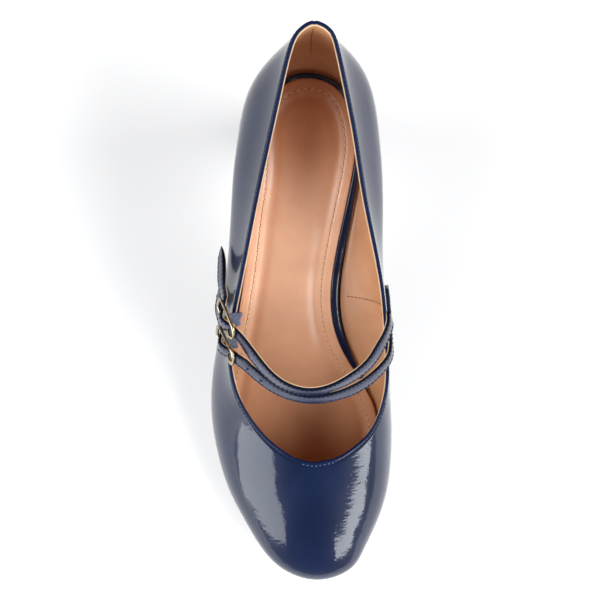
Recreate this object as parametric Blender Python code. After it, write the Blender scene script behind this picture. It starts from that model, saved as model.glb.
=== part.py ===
"""Mary jane pump for the right foot: covered block heel, two instep straps, each with a small buckle.

Metres, +Z up. +X is the inner (medial) side, -Y points to the toe. The origin is the centre of the
heel's tread on the floor. Along the shoe, a station is the distance from the topline's back edge.
"""

import math
from collections import namedtuple

import bmesh
import bpy
import numpy as np

# Driving sizes of the last
LAST_LENGTH = 0.228
BALL_WIDTH = 0.0832
HEEL_HEIGHT = 0.075
BACK_HEIGHT = 0.056
INSTEP_HEIGHT = 0.039
TOE_SPRING = 0.0068

# Driving sizes of the leather and the sole
UPPER_WALL = 0.0018
FOOT_WALL = 1.15 * UPPER_WALL
SOLE_THICKNESS = 0.0029
SOLE_EDGE = 0.0008
INSOLE_THICKNESS = 0.0042
INSOLE_INSET = 0.0044
RIM_WIDTH = 0.0034
RIM_DROP = 0.0004
RIM_ENDS = 9.0

# Driving sizes of the heel
HEEL_STATION = 0.0245
HEEL_TIP_LENGTH = 0.026
HEEL_TIP_WIDTH = 0.026
HEEL_SEAT_LENGTH = 0.046
HEEL_SEAT_INSET = 0.0010
LIFT_THICKNESS = 0.005

# Driving sizes of the straps and buckles
STRAP_WIDTH = 0.0065
STRAP_THICKNESS = 0.0016
STRAP_PLAY = 0.0006
PRONG_SLOT = 0.0070
BUCKLE_LENGTH = 0.0180
WIRE_RADIUS = 0.0009
BAR_RADIUS = 0.0007
PRONG_RADIUS = 0.0006
BUCKLE_CORNER = 0.62
ELASTIC_WIDTH = 0.0055
ELASTIC_THICKNESS = 0.0009
ELASTIC_PLAY = 0.0007

# Clearance between neighbouring pieces
GAP = 0.0003

# Mesh fineness
UPPER_COLUMNS = 96
UPPER_ROWS = 10
SOLE_STATIONS = 34
STRAP_STEPS = 56
WIRE_SIDES = 8

# Height of the last's underside where the ball of the foot rests
BALL_REST = SOLE_THICKNESS + GAP

# The last's underside: station as a share of the length, rise as a share of the heel's height and of
# the toe spring.
Bottom = namedtuple("Bottom", "station heel spring")
BOTTOM = [
    Bottom(0.000, 1.000, 0.00),
    Bottom(0.088, 0.958, 0.00),
    Bottom(0.175, 0.909, 0.00),
    Bottom(0.263, 0.819, 0.00),
    Bottom(0.351, 0.666, 0.00),
    Bottom(0.439, 0.478, 0.00),
    Bottom(0.526, 0.272, 0.00),
    Bottom(0.614, 0.090, 0.00),
    Bottom(0.680, 0.012, 0.00),
    Bottom(0.728, -0.005, 0.00),
    Bottom(0.772, -0.004, 0.00),
    Bottom(0.833, 0.000, 0.12),
    Bottom(0.921, 0.000, 0.48),
    Bottom(1.000, 0.000, 1.00),
]

# How the wall's curve is held: the pull at the topline and the height above the widest line that it is
# measured from, and the weights of the foot's point and the top's at the widest line
TOP_PULL = 0.34
WIDE_RISE = 0.4
FOOT_WEIGHT = 0.0156
TOP_WEIGHT = 0.1055

# The upper's sections, from the back of the heel to the toe's tip. Stations are shares of the length
# and sides are shares of the ball's width, inner side then outer side, for the feather line, for the
# widest line and for the topline. instep goes from the back's height to the instep's. low and shoulder
# are heights on the wall as shares of its rise, lean is the wall's slope at the topline in degrees,
# and inset is how far the insole stays inside the feather line, as shares of INSOLE_INSET.
Cut = namedtuple(
    "Cut",
    "feather feather_in feather_out wide wide_in wide_out top top_in top_out "
    "instep low shoulder lean inset_in inset_out",
)
SECTIONS = [
    Cut(0.024, 0.004, -0.004, -0.003, 0.004, -0.004, 0.001, 0.005, -0.005, 0.00, 0.21, 0.54, 3, 1.00, 1.00),
    Cut(0.039, 0.154, 0.134, 0.018, 0.183, 0.146, 0.011, 0.074, 0.058, 0.04, 0.21, 0.54, 8, 1.00, 1.00),
    Cut(0.082, 0.253, 0.248, 0.075, 0.297, 0.274, 0.035, 0.111, 0.100, 0.14, 0.21, 0.54, 16, 1.00, 1.00),
    Cut(0.145, 0.297, 0.291, 0.152, 0.340, 0.327, 0.096, 0.156, 0.143, 0.38, 0.22, 0.54, 24, 1.00, 1.00),
    Cut(0.206, 0.294, 0.293, 0.210, 0.360, 0.351, 0.173, 0.207, 0.191, 0.65, 0.24, 0.55, 24, 1.14, 1.00),
    Cut(0.281, 0.264, 0.320, 0.281, 0.374, 0.367, 0.259, 0.256, 0.244, 0.81, 0.27, 0.57, 20, 1.26, 1.00),
    Cut(0.360, 0.232, 0.346, 0.360, 0.385, 0.385, 0.346, 0.322, 0.294, 0.88, 0.29, 0.58, 14, 1.35, 1.00),
    Cut(0.439, 0.221, 0.379, 0.439, 0.414, 0.415, 0.430, 0.381, 0.343, 0.91, 0.29, 0.58, 9, 1.38, 1.00),
    Cut(0.518, 0.274, 0.417, 0.518, 0.459, 0.448, 0.509, 0.416, 0.383, 0.95, 0.27, 0.57, 9, 1.32, 1.00),
    Cut(0.596, 0.378, 0.456, 0.596, 0.475, 0.482, 0.579, 0.440, 0.377, 0.98, 0.23, 0.56, 14, 0.84, 0.95),
    Cut(0.671, 0.459, 0.464, 0.675, 0.500, 0.486, 0.638, 0.425, 0.326, 1.00, 0.20, 0.55, 34, 0.54, 0.60),
    Cut(0.741, 0.476, 0.432, 0.747, 0.505, 0.453, 0.687, 0.375, 0.240, 1.00, 0.18, 0.52, 50, 0.54, 0.54),
    Cut(0.808, 0.460, 0.376, 0.817, 0.484, 0.392, 0.719, 0.297, 0.153, 1.00, 0.16, 0.48, 60, 0.54, 0.54),
    Cut(0.872, 0.408, 0.286, 0.882, 0.427, 0.300, 0.742, 0.203, 0.063, 1.00, 0.14, 0.43, 68, 0.54, 0.54),
    Cut(0.926, 0.334, 0.190, 0.936, 0.354, 0.206, 0.750, 0.136, 0.002, 1.00, 0.13, 0.39, 72, 0.54, 0.54),
    Cut(0.968, 0.244, 0.070, 0.977, 0.272, 0.088, 0.753, 0.091, -0.034, 1.00, 0.12, 0.37, 74, 0.54, 0.54),
    Cut(0.988, 0.093, -0.093, 0.9965, 0.095, -0.095, 0.754, 0.063, -0.063, 1.00, 0.12, 0.36, 75, 0.54, 0.54),
]

# The heel's sections from its lower end to the seat: height as a share, then how far each size has
# grown from the tip's to the seat's.
HeelSection = namedtuple("HeelSection", "height grown hollow")
HEEL_SECTIONS = [
    HeelSection(0.00, 0.00, 0.8),
    HeelSection(0.32, 0.05, 1.0),
    HeelSection(0.58, 0.22, 1.0),
    HeelSection(0.78, 0.52, 0.8),
    HeelSection(0.91, 0.82, 0.4),
    HeelSection(1.00, 1.00, 0.0),
]

# Routes of the straps above the opening, from the inner side to the outer side: side as a share of
# the ball's width, station as a share of the length, rise above the last's underside as a share of the
# instep's height, and the band's tilt from upright in degrees.
Route = namedtuple("Route", "side station rise tilt")
STRAP_REAR_ROUTE = [
    Route(0.411, 0.481, 1.160, 22),
    Route(0.384, 0.506, 1.330, 30),
    Route(0.352, 0.526, 1.455, 34),
    Route(0.309, 0.548, 1.595, 34),
    Route(0.246, 0.568, 1.700, 32),
    Route(0.139, 0.590, 1.800, 27),
    Route(0.022, 0.600, 1.835, 24),
    Route(-0.118, 0.587, 1.780, 25),
    Route(-0.218, 0.556, 1.610, 28),
    Route(-0.278, 0.528, 1.440, 28),
]
STRAP_FRONT_ROUTE = [
    Route(0.428, 0.541, 1.145, 24),
    Route(0.381, 0.565, 1.285, 32),
    Route(0.332, 0.581, 1.375, 36),
    Route(0.273, 0.595, 1.455, 37),
    Route(0.154, 0.612, 1.550, 34),
    Route(0.031, 0.618, 1.590, 31),
    Route(-0.131, 0.603, 1.505, 32),
    Route(-0.242, 0.575, 1.370, 34),
    Route(-0.292, 0.559, 1.290, 32),
]

# Where each strap is rooted on the inner wall, as section numbers, and how far below the topline
STRAP_REAR_ROOT = [(6.85, 0.0041), (7.15, 0.0035), (7.40, 0.0029)]
STRAP_FRONT_ROOT = [(7.48, 0.0082), (7.75, 0.0060), (8.00, 0.0036)]

# Where each buckle lies: its rear and front bars, in the same shares as a route
BUCKLE_REAR_BARS = (Route(-0.425, 0.445, 0.930, 16), Route(-0.362, 0.501, 1.300, 16))
BUCKLE_FRONT_BARS = (Route(-0.434, 0.497, 0.920, 16), Route(-0.365, 0.545, 1.300, 16))

# The free tips behind the buckles
TIP_REAR = [
    Route(-0.411, 0.415, 0.830, 20),
    Route(-0.414, 0.385, 0.680, 22),
    Route(-0.416, 0.342, 0.480, 22),
]
TIP_FRONT = [
    Route(-0.430, 0.464, 0.760, 18),
    Route(-0.429, 0.438, 0.620, 20),
    Route(-0.427, 0.413, 0.520, 20),
]

# Where the elastic tabs cross the outer topline, as section numbers on that side
ELASTIC_REAR_AT = 7.52
ELASTIC_FRONT_AT = 8.10
ELASTIC_INSIDE = 0.009

# Colours, roughness and metallic values
FINISHES = {
    "navy patent": ((0.012, 0.026, 0.092), 0.12, 0.0),
    "tan lining": ((0.58, 0.26, 0.14), 0.45, 0.0),
    "black rubber": ((0.02, 0.02, 0.02), 0.7, 0.0),
    "sole": ((0.05, 0.04, 0.04), 0.55, 0.0),
    "gold wire": ((0.75, 0.58, 0.3), 0.25, 1.0),
    "navy elastic": ((0.04, 0.08, 0.2), 0.8, 0.0),
}

LAST_SECTION = len(SECTIONS) - 1
RIBS = 2 * LAST_SECTION


def clear_scene():
    for thing in list(bpy.data.objects):
        bpy.data.objects.remove(thing, do_unlink=True)


def finish_material(name):
    """The material of one finish, made once."""
    material = bpy.data.materials.get(name)
    if material:
        return material
    colour, roughness, metallic = FINISHES[name]
    material = bpy.data.materials.new(name)
    material.use_nodes = True
    shader = material.node_tree.nodes["Principled BSDF"]
    shader.inputs["Base Color"].default_value = (*colour, 1.0)
    shader.inputs["Roughness"].default_value = roughness
    shader.inputs["Metallic"].default_value = metallic
    return material


def add_object(name, points, faces, finish, sharp=40.0):
    """A closed mesh object with its faces pointing out."""
    mesh = bpy.data.meshes.new(name)
    mesh.from_pydata([tuple(map(float, p)) for p in points], [], faces)
    form = bmesh.new()
    form.from_mesh(mesh)
    bmesh.ops.recalc_face_normals(form, faces=form.faces)
    form.to_mesh(mesh)
    form.free()
    mesh.shade_smooth()
    mesh.set_sharp_from_angle(angle=math.radians(sharp))
    mesh.materials.append(finish_material(finish))
    thing = bpy.data.objects.new(name, mesh)
    bpy.context.scene.collection.objects.link(thing)
    return thing


def open_spline(knots, values):
    """A natural cubic curve through the values, straight beyond its ends."""
    knots = np.asarray(knots, float)
    values = np.asarray(values, float)
    count = len(knots)
    spans = np.diff(knots)
    matrix = np.eye(count)
    right = np.zeros(values.shape)
    for i in range(1, count - 1):
        matrix[i, i - 1 : i + 2] = spans[i - 1], 2 * (spans[i - 1] + spans[i]), spans[i]
        after = (values[i + 1] - values[i]) / spans[i]
        before = (values[i] - values[i - 1]) / spans[i - 1]
        right[i] = 6 * (after - before)
    bends = np.linalg.solve(matrix, right)

    def value(at):
        at = np.clip(np.asarray(at, float), knots[0], knots[-1])
        i = np.clip(np.searchsorted(knots, at) - 1, 0, count - 2)
        span = spans[i]
        a = (knots[i + 1] - at) / span
        b = 1 - a
        if values.ndim > 1:
            a, b, span = a[..., None], b[..., None], span[..., None]
        curve = (a**3 - a) * bends[i] + (b**3 - b) * bends[i + 1]
        return a * values[i] + b * values[i + 1] + curve * span**2 / 6

    return value


def closed_spline(values):
    """A smooth closed curve through evenly numbered values."""
    values = np.asarray(values, float)
    count = len(values)
    matrix = np.zeros((count, count))
    for i in range(count):
        matrix[i, i] = 4
        matrix[i, i - 1] += 1
        matrix[i, (i + 1) % count] += 1
    right = 6 * (np.roll(values, -1, 0) - 2 * values + np.roll(values, 1, 0))
    bends = np.linalg.solve(matrix, right)

    def value(at):
        at = np.asarray(at, float) % count
        i = np.floor(at).astype(int) % count
        j = (i + 1) % count
        b = at - np.floor(at)
        a = 1 - b
        return a * values[i] + b * values[j] + ((a**3 - a) * bends[i] + (b**3 - b) * bends[j]) / 6

    return value


def round_the_shoe(inner, outer):
    """A closed curve from one column of the inner side and one of the outer side."""
    inner_side = [getattr(row, inner) for row in SECTIONS]
    outer_side = [getattr(row, outer) for row in SECTIONS]
    return closed_spline(inner_side + outer_side[-2:0:-1])


def side_round_the_shoe(name):
    """A closed curve of sideways places: plus on the inner side, minus on the outer side."""
    inner_side = [getattr(row, name + "_in") for row in SECTIONS]
    outer_side = [-getattr(row, name + "_out") for row in SECTIONS]
    return closed_spline(inner_side + outer_side[-2:0:-1])


FEATHER_STATION = round_the_shoe("feather", "feather")
FEATHER_SIDE = side_round_the_shoe("feather")
WIDE_STATION = round_the_shoe("wide", "wide")
WIDE_SIDE = side_round_the_shoe("wide")
TOP_STATION = round_the_shoe("top", "top")
TOP_SIDE = side_round_the_shoe("top")
INSTEP_PART = round_the_shoe("instep", "instep")
LOW_PART = round_the_shoe("low", "low")
SHOULDER_PART = round_the_shoe("shoulder", "shoulder")
LEAN = round_the_shoe("lean", "lean")
INSET = round_the_shoe("inset_in", "inset_out")
HEEL_RISE = open_spline([row.station for row in BOTTOM], [row.heel for row in BOTTOM])
SPRING_RISE = open_spline([row.station for row in BOTTOM], [row.spring for row in BOTTOM])


def bottom_height(station):
    """Height of the last's underside at a station in metres."""
    share = np.asarray(station, float) / LAST_LENGTH
    return BALL_REST + HEEL_RISE(share) * (HEEL_HEIGHT - BALL_REST) + SPRING_RISE(share) * TOE_SPRING


def place(side, station, height):
    """World points from sideways places, stations and heights in metres."""
    return np.stack([side, HEEL_STATION - station, height], axis=-1)


def wall_controls(rib):
    """The five control points of the wall's outer curve at each rib number."""
    rib = np.asarray(rib, float)
    feather_at = FEATHER_STATION(rib) * LAST_LENGTH
    top_at = TOP_STATION(rib) * LAST_LENGTH
    foot_height = bottom_height(feather_at)
    rise = BACK_HEIGHT + (INSTEP_HEIGHT - BACK_HEIGHT) * INSTEP_PART(rib)
    foot = place(FEATHER_SIDE(rib) * BALL_WIDTH, feather_at, foot_height)
    top = place(TOP_SIDE(rib) * BALL_WIDTH, top_at, bottom_height(top_at) + rise)
    wide = place(WIDE_SIDE(rib) * BALL_WIDTH, WIDE_STATION(rib) * LAST_LENGTH, foot_height)
    inward = top - wide
    inward[..., 2] = 0
    inward /= np.maximum(np.linalg.norm(inward, axis=-1, keepdims=True), 1e-9)
    lean = np.radians(LEAN(rib))[..., None]
    leaving = inward * np.sin(lean) + np.array([0, 0, 1.0]) * np.cos(lean)
    above_wide = wide + np.array([0, 0, 1.0]) * (WIDE_RISE * rise)[..., None]
    reach = np.linalg.norm(top - above_wide, axis=-1, keepdims=True)
    below_top = top - leaving * reach * TOP_PULL
    # The widest line lies three quarters along the first half of the curve
    out = (wide - FOOT_WEIGHT * foot - TOP_WEIGHT * below_top) / (1 - FOOT_WEIGHT - TOP_WEIGHT)
    low = out.copy()
    low[..., 2] = foot_height + LOW_PART(rib) * rise
    shoulder = out.copy()
    shoulder[..., 2] = foot_height + SHOULDER_PART(rib) * rise
    return foot, low, shoulder, below_top, top


def cubic(a, b, c, d, part):
    """A cubic Bezier curve."""
    rest = 1 - part
    return rest**3 * a + 3 * rest**2 * part * b + 3 * rest * part**2 * c + part**3 * d


def wall_point(rib, height):
    """Outer surface of the upper: height runs from 0 at the feather line to 1 at the topline."""
    foot, low, shoulder, below_top, top = wall_controls(rib)
    height = np.broadcast_to(np.asarray(height, float), np.shape(rib))[..., None]
    middle = (low + 2 * shoulder + below_top) / 4
    lower = cubic(foot, low, (low + shoulder) / 2, middle, np.clip(2 * height, 0, 1))
    upper = cubic(middle, (shoulder + below_top) / 2, below_top, top, np.clip(2 * height - 1, 0, 1))
    return np.where(height < 0.5, lower, upper)


def wall_frame(rib, height):
    """A point of the outer surface with its outward normal and its direction up the wall."""
    rib = np.asarray(rib, float)
    height = np.broadcast_to(np.asarray(height, float), rib.shape)
    step = 0.01
    across = wall_point(rib + step, height) - wall_point(rib - step, height)
    lower = np.clip(height - step, 0, 1)
    upper = np.clip(height + step, 0, 1)
    rising = wall_point(rib, upper) - wall_point(rib, lower)
    normal = np.cross(rising, across)
    normal /= np.linalg.norm(normal, axis=-1, keepdims=True)
    rising /= np.linalg.norm(rising, axis=-1, keepdims=True)
    return wall_point(rib, height), normal, rising


def height_below_topline(rib, distance):
    """The wall height whose point lies a distance below the topline, measured along the wall."""
    heights = np.linspace(0.5, 1.0, 60)
    points = wall_point(np.full(60, float(rib)), heights)
    steps = np.linalg.norm(np.diff(points, axis=0), axis=1)
    below = np.append(np.cumsum(steps[::-1])[::-1], 0)
    return float(np.interp(-distance, -below, heights))


def loop_faces(columns, rows):
    """Quads of a grid that closes on itself across its columns."""
    faces = []
    for i in range(columns):
        j = (i + 1) % columns
        for k in range(rows - 1):
            faces.append((i * rows + k, j * rows + k, j * rows + k + 1, i * rows + k + 1))
    return faces


def make_upper():
    """The hollow upper: outer surface, topline edge, inner surface and the edge under the feather line."""
    ribs = np.arange(UPPER_COLUMNS) * RIBS / UPPER_COLUMNS
    shares = np.linspace(0, 1, UPPER_ROWS)
    grid_rib, grid_height = np.meshgrid(ribs, shares, indexing="ij")
    outside, normal, _ = wall_frame(grid_rib, grid_height)
    inside = outside - normal * UPPER_WALL
    level = normal[:, 0].copy()
    level[:, 2] = 0
    level /= np.linalg.norm(level, axis=-1, keepdims=True)
    inside[:, 0] = outside[:, 0] - level * FOOT_WALL
    inside[:, 0, 2] = bottom_height(HEEL_STATION - inside[:, 0, 1])
    ring = np.concatenate([outside, inside[:, ::-1]], axis=1)
    rows = 2 * UPPER_ROWS
    faces = loop_faces(UPPER_COLUMNS, rows)
    for i in range(UPPER_COLUMNS):
        j = (i + 1) % UPPER_COLUMNS
        faces.append((i * rows + rows - 1, j * rows + rows - 1, j * rows, i * rows))
    return add_object("upper", ring.reshape(-1, 3), faces, "navy patent")


def offset_outline(inset):
    """The feather line moved inwards: stations and sides of its two halves, from heel to toe."""
    ribs = np.linspace(0, RIBS, 640, endpoint=False)
    station = FEATHER_STATION(ribs) * LAST_LENGTH
    side = FEATHER_SIDE(ribs) * BALL_WIDTH
    along = np.gradient(np.append(station, station[:1]))[:-1]
    across = np.gradient(np.append(side, side[:1]))[:-1]
    size = np.hypot(along, across)
    distance = inset(ribs) if callable(inset) else inset
    station = station + across / size * distance
    side = side - along / size * distance
    tip = int(np.argmax(station))
    back = int(np.argmin(np.where((ribs < 3) | (ribs > RIBS - 3), station, 9)))
    order = np.roll(np.arange(640), -back)
    cut = int(np.where(order == tip)[0][0])
    inner = order[: cut + 1]
    outer = np.append(order[cut:], order[0])[::-1]
    return station[inner], side[inner], station[outer], side[outer]


def sides_at(outline, stations):
    """Inner and outer sideways places of an outline at given stations."""
    inner_at, inner_side, outer_at, outer_side = outline
    inner = np.interp(stations, np.maximum.accumulate(inner_at), inner_side)
    outer = np.interp(stations, np.maximum.accumulate(outer_at), outer_side)
    return inner, outer


def spaced_stations(start, end, count, round_start, round_end):
    """Stations from start to end, close together at each rounded end."""
    share = np.linspace(0, 1, count)
    low = 1 if round_start else 0
    high = 1 if round_end else 0
    if low and high:
        share = (1 - np.cos(math.pi * share)) / 2
    elif high:
        share = np.sin(math.pi / 2 * share)
    elif low:
        share = 1 - np.cos(math.pi / 2 * share)
    return start + (end - start) * share


def plate(name, top_sides, bottom_sides, stations, top_height, bottom_heights, finish, lanes=6):
    """A closed plate of cross strips between an inner and an outer edge."""
    points = []
    shares = np.linspace(-1, 1, lanes + 1)
    for index, station in enumerate(stations):
        for sides, heights in ((top_sides, top_height), (bottom_sides, bottom_heights)):
            inner, outer = sides[0][index], sides[1][index]
            middle, half = (inner + outer) / 2, (inner - outer) / 2
            for share in shares:
                points.append(place(middle + half * share, station, heights(station, share)))
    row = 2 * (lanes + 1)
    faces = []
    for i in range(len(stations) - 1):
        a, b = i * row, (i + 1) * row
        for k in range(lanes):
            faces.append((a + k, a + k + 1, b + k + 1, b + k))
            faces.append((a + lanes + 1 + k, b + lanes + 1 + k, b + lanes + 2 + k, a + lanes + 2 + k))
        faces.append((a, b, b + lanes + 1, a + lanes + 1))
        faces.append((a + lanes, a + 2 * lanes + 1, b + 2 * lanes + 1, b + lanes))
    for a in (0, (len(stations) - 1) * row):
        for k in range(lanes):
            faces.append((a + k, a + lanes + 1 + k, a + lanes + 2 + k, a + k + 1))
    return add_object(name, points, faces, finish)


def insole_inset(ribs):
    """How far the insole's edge lies inside the feather line."""
    return np.maximum(INSET(ribs) * INSOLE_INSET, FOOT_WALL + GAP)


def make_insole():
    """The insole board with its sock, slightly dished across."""
    outline = offset_outline(insole_inset)
    start, end = outline[0].min(), outline[0].max()
    margin = 0.00004
    stations = spaced_stations(start + margin, end - margin, SOLE_STATIONS, True, True)
    sides = sides_at(outline, stations)

    def top(station, share):
        return bottom_height(station) + INSOLE_THICKNESS * (1 - 0.14 * (1 - share**2))

    def under(station, share):
        return bottom_height(station)

    return plate("insole", sides, sides, stations, top, under, "tan lining")


def make_rim():
    """The patent strip round the insole's heel and waist, thinning to nothing at the ball."""
    ends = RIM_ENDS
    ribs = np.linspace(-ends, ends, 80)
    station = FEATHER_STATION(ribs) * LAST_LENGTH
    side = FEATHER_SIDE(ribs) * BALL_WIDTH
    along = np.gradient(station)
    across = np.gradient(side)
    size = np.hypot(along, across)
    inner_edge = insole_inset(ribs) - 2 * GAP
    room = inner_edge - FOOT_WALL - GAP
    width = np.minimum(RIM_WIDTH, room)
    points = []
    for i in range(len(ribs)):
        normal = np.array([-along[i], across[i]]) / size[i]
        height = INSOLE_THICKNESS - RIM_DROP
        shape = ((0, 0), (1, 0), (1, 0.72), (0.75, 1), (0.25, 1), (0, 0.85))
        for out_share, up_share in shape:
            distance = inner_edge[i] - out_share * width[i]
            x = side[i] + normal[0] * distance
            s = station[i] + normal[1] * distance
            points.append(place(x, s, bottom_height(s) + up_share * height))
    corners = 6
    faces = []
    for i in range(len(ribs) - 1):
        for k in range(corners):
            m = (k + 1) % corners
            a, b = i * corners, (i + 1) * corners
            faces.append((a + k, a + m, b + m, b + k))
    faces.append(tuple(range(corners)))
    last = (len(ribs) - 1) * corners
    faces.append(tuple(last + k for k in reversed(range(corners))))
    return add_object("insole_rim", points, faces, "navy patent")


def make_outsole():
    """The outsole from the heel's breast to the toe, flat where the ball treads."""
    outline = offset_outline(-SOLE_EDGE)
    under_outline = offset_outline(0.0)
    start = seat_back() + HEEL_SEAT_LENGTH + GAP
    end = outline[0].max() - 0.00005
    stations = spaced_stations(start, end, SOLE_STATIONS, False, True)
    under_end = under_outline[0].max()
    under_stations = np.minimum(stations, under_end)

    def top(station, share):
        return bottom_height(station) - GAP

    def under(station, share):
        return np.maximum(bottom_height(station) - GAP - SOLE_THICKNESS, 0.0)

    top_sides = sides_at(outline, stations)
    under_sides = sides_at(under_outline, under_stations)
    return plate("outsole", top_sides, under_sides, stations, top, under, "sole")


def seat_back():
    """Station of the back of the heel's seat."""
    return float(FEATHER_STATION(0.0)) * LAST_LENGTH + HEEL_SEAT_INSET


def heel_outline(grown, hollow):
    """Half outline of the heel at a growth from tip to seat, from its back to its breast."""
    tip_back = HEEL_STATION - HEEL_TIP_LENGTH / 2
    back = tip_back + (seat_back() - tip_back) * grown
    length = HEEL_TIP_LENGTH + (HEEL_SEAT_LENGTH - HEEL_TIP_LENGTH) * grown
    seat_half = float(FEATHER_SIDE(3.0)) * BALL_WIDTH - HEEL_SEAT_INSET
    half = HEEL_TIP_WIDTH / 2 + (seat_half - HEEL_TIP_WIDTH / 2) * grown
    centre = back + 0.565 * length
    breast = back + length
    corner = 0.09 * length
    outline = []
    for turn in np.linspace(0, math.pi / 2, 8):
        outline.append((half * math.sin(turn), centre - (centre - back) * math.cos(turn)))
    outline.append((half * 0.995, (centre + breast - corner) / 2))
    for turn in np.linspace(0, math.pi / 2, 4):
        inside = half * 0.985 - corner
        outline.append((inside + corner * math.cos(turn), breast - corner + corner * math.sin(turn)))
    for share in (0.55, 0.0):
        outline.append((half * share, breast - hollow * 0.002 * (1 - share**2)))
    return outline


def make_heel():
    """The covered block heel, lofted from its lower end to the seat."""
    heights = [row.height for row in HEEL_SECTIONS]
    grown = open_spline(heights, [row.grown for row in HEEL_SECTIONS])
    hollow = open_spline(heights, [row.hollow for row in HEEL_SECTIONS])
    base = LIFT_THICKNESS + GAP
    levels = np.linspace(0, 1, 14)
    points = []
    for level in levels:
        outline = heel_outline(float(grown(level)), float(hollow(level)))
        full = outline + [(-x, s) for x, s in reversed(outline[1:-1])]
        for x, s in full:
            seat = float(bottom_height(s)) - GAP
            points.append(place(x, s, base + (seat - base) * level))
    half_count = len(outline)
    count = len(full)
    faces = []
    for i in range(len(levels) - 1):
        for k in range(count):
            m = (k + 1) % count
            faces.append((i * count + k, i * count + m, (i + 1) * count + m, (i + 1) * count + k))
    for first in (0, (len(levels) - 1) * count):
        faces.append((first, first + 1, first + count - 1))
        for k in range(1, half_count - 2):
            faces.append((first + k, first + k + 1, first + count - k - 1, first + count - k))
        k = half_count - 2
        faces.append((first + k, first + k + 1, first + count - k))
    return add_object("heel", points, faces, "navy patent")


def make_lift():
    """The rubber top lift under the heel, flat on the floor."""
    outline = heel_outline(0.0, HEEL_SECTIONS[0].hollow)
    full = outline + [(-x, s) for x, s in reversed(outline[1:-1])]
    count = len(full)
    points = [place(x, s, height) for height in (0.0, LIFT_THICKNESS) for x, s in full]
    faces = [(k, (k + 1) % count, count + (k + 1) % count, count + k) for k in range(count)]
    faces.append(tuple(range(count)))
    faces.append(tuple(count + k for k in reversed(range(count))))
    return add_object("top_lift", points, faces, "black rubber")


def route_place(row):
    """World point of a route's row."""
    station = row.station * LAST_LENGTH
    return place(row.side * BALL_WIDTH, station, bottom_height(station) + row.rise * INSTEP_HEIGHT)


def unit(vector):
    return vector / np.linalg.norm(vector)


class BuckleFrame:
    """Directions of a buckle: along from its hinge bar to its front bar, down its width, and out."""

    def __init__(self, bars):
        hinge, front = route_place(bars[0]), route_place(bars[1])
        self.centre = (hinge + front) / 2
        self.along = unit(front - hinge)
        level_out = unit(np.cross(np.array([0, 0, 1.0]), self.along))
        if level_out[0] > 0:
            level_out = -level_out
        tilt = math.radians((bars[0].tilt + bars[1].tilt) / 2)
        down = level_out * math.sin(tilt) - np.array([0, 0, 1.0]) * math.cos(tilt)
        self.down = unit(down - self.along * np.dot(down, self.along))
        self.out = unit(np.cross(self.along, self.down))
        if self.out[0] > 0:
            self.out = -self.out

    def at(self, along, down, out):
        return self.centre + self.along * along + self.down * down + self.out * out


BAR_OFFSET = BUCKLE_LENGTH / 2 - WIRE_RADIUS
FRAME_HALF = STRAP_WIDTH / 2 + STRAP_PLAY + WIRE_RADIUS
STRAP_UNDER = WIRE_RADIUS + STRAP_PLAY + STRAP_THICKNESS / 2
STRAP_OVER = BAR_RADIUS + STRAP_PLAY + STRAP_THICKNESS / 2


def strap_rows(root, route, frame, tip):
    """Places and width directions of a strap's centre line, from its root to its tip."""
    rows = []
    for rib, below in root:
        point, normal, rising = wall_frame(rib, height_below_topline(rib, below))
        rows.append((point + normal * (GAP + STRAP_THICKNESS / 2), -rising))
    upright = np.array([0, 0, 1.0])
    places = [route_place(row) for row in route]
    for i, row in enumerate(route):
        ahead = places[min(i + 1, len(route) - 1)] - places[max(i - 1, 0)]
        outward = unit(np.cross(ahead, upright))
        if outward[1] > 0.3 or (abs(outward[1]) <= 0.3 and outward[0] * row.side < 0):
            outward = -outward
        tilt = math.radians(row.tilt)
        rows.append((places[i], outward * math.sin(tilt) - upright * math.cos(tilt)))
    middle = (STRAP_OVER - STRAP_UNDER) / 2
    weave = ((1, -STRAP_UNDER), (0.5, middle), (0, STRAP_OVER), (-0.5, middle), (-1, -STRAP_UNDER))
    for along, out in weave:
        rows.append((frame.at(along * BAR_OFFSET, 0, out), frame.down))
    for row in tip:
        tilt = math.radians(row.tilt)
        rows.append((route_place(row), np.array([-math.sin(tilt), 0, -math.cos(tilt)])))
    return rows


def ribbon(name, rows, width, thickness, steps, finish, pointed=False):
    """A flat band with softly rounded edges along a route of places and width directions."""
    places = np.array([row[0] for row in rows])
    widths = np.array([row[1] for row in rows])
    knots = np.append(0, np.cumsum(np.linalg.norm(np.diff(places, axis=0), axis=1)))
    route = open_spline(knots, places)
    turning = open_spline(knots, widths)
    at = np.linspace(0, knots[-1], steps)
    centre = route(at)
    tangent = np.gradient(centre, axis=0)
    tangent /= np.linalg.norm(tangent, axis=1, keepdims=True)
    across = turning(at)
    across -= tangent * np.sum(across * tangent, axis=1, keepdims=True)
    across /= np.linalg.norm(across, axis=1, keepdims=True)
    normal = np.cross(tangent, across)
    shape = ((-1, -0.5), (-0.9, -1), (0.9, -1), (1, -0.5), (1, 0.5), (0.9, 1), (-0.9, 1), (-1, 0.5))
    points = []
    for i in range(steps):
        left = knots[-1] - at[i]
        narrow = 1.0
        if pointed and left < width * 0.6:
            narrow = max(0.28, math.sqrt(max(0.0, 1 - (1 - left / (width * 0.6)) ** 2)))
        for wide, thick in shape:
            beside = across[i] * wide * width / 2 * narrow
            points.append(centre[i] + beside + normal[i] * thick * thickness / 2)
    corners = len(shape)
    faces = []
    for i in range(steps - 1):
        for k in range(corners):
            m = (k + 1) % corners
            faces.append((i * corners + k, i * corners + m, (i + 1) * corners + m, (i + 1) * corners + k))
    faces.append(tuple(range(corners)))
    last = (steps - 1) * corners
    faces.append(tuple(last + k for k in reversed(range(corners))))
    return add_object(name, points, faces, finish)


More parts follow.
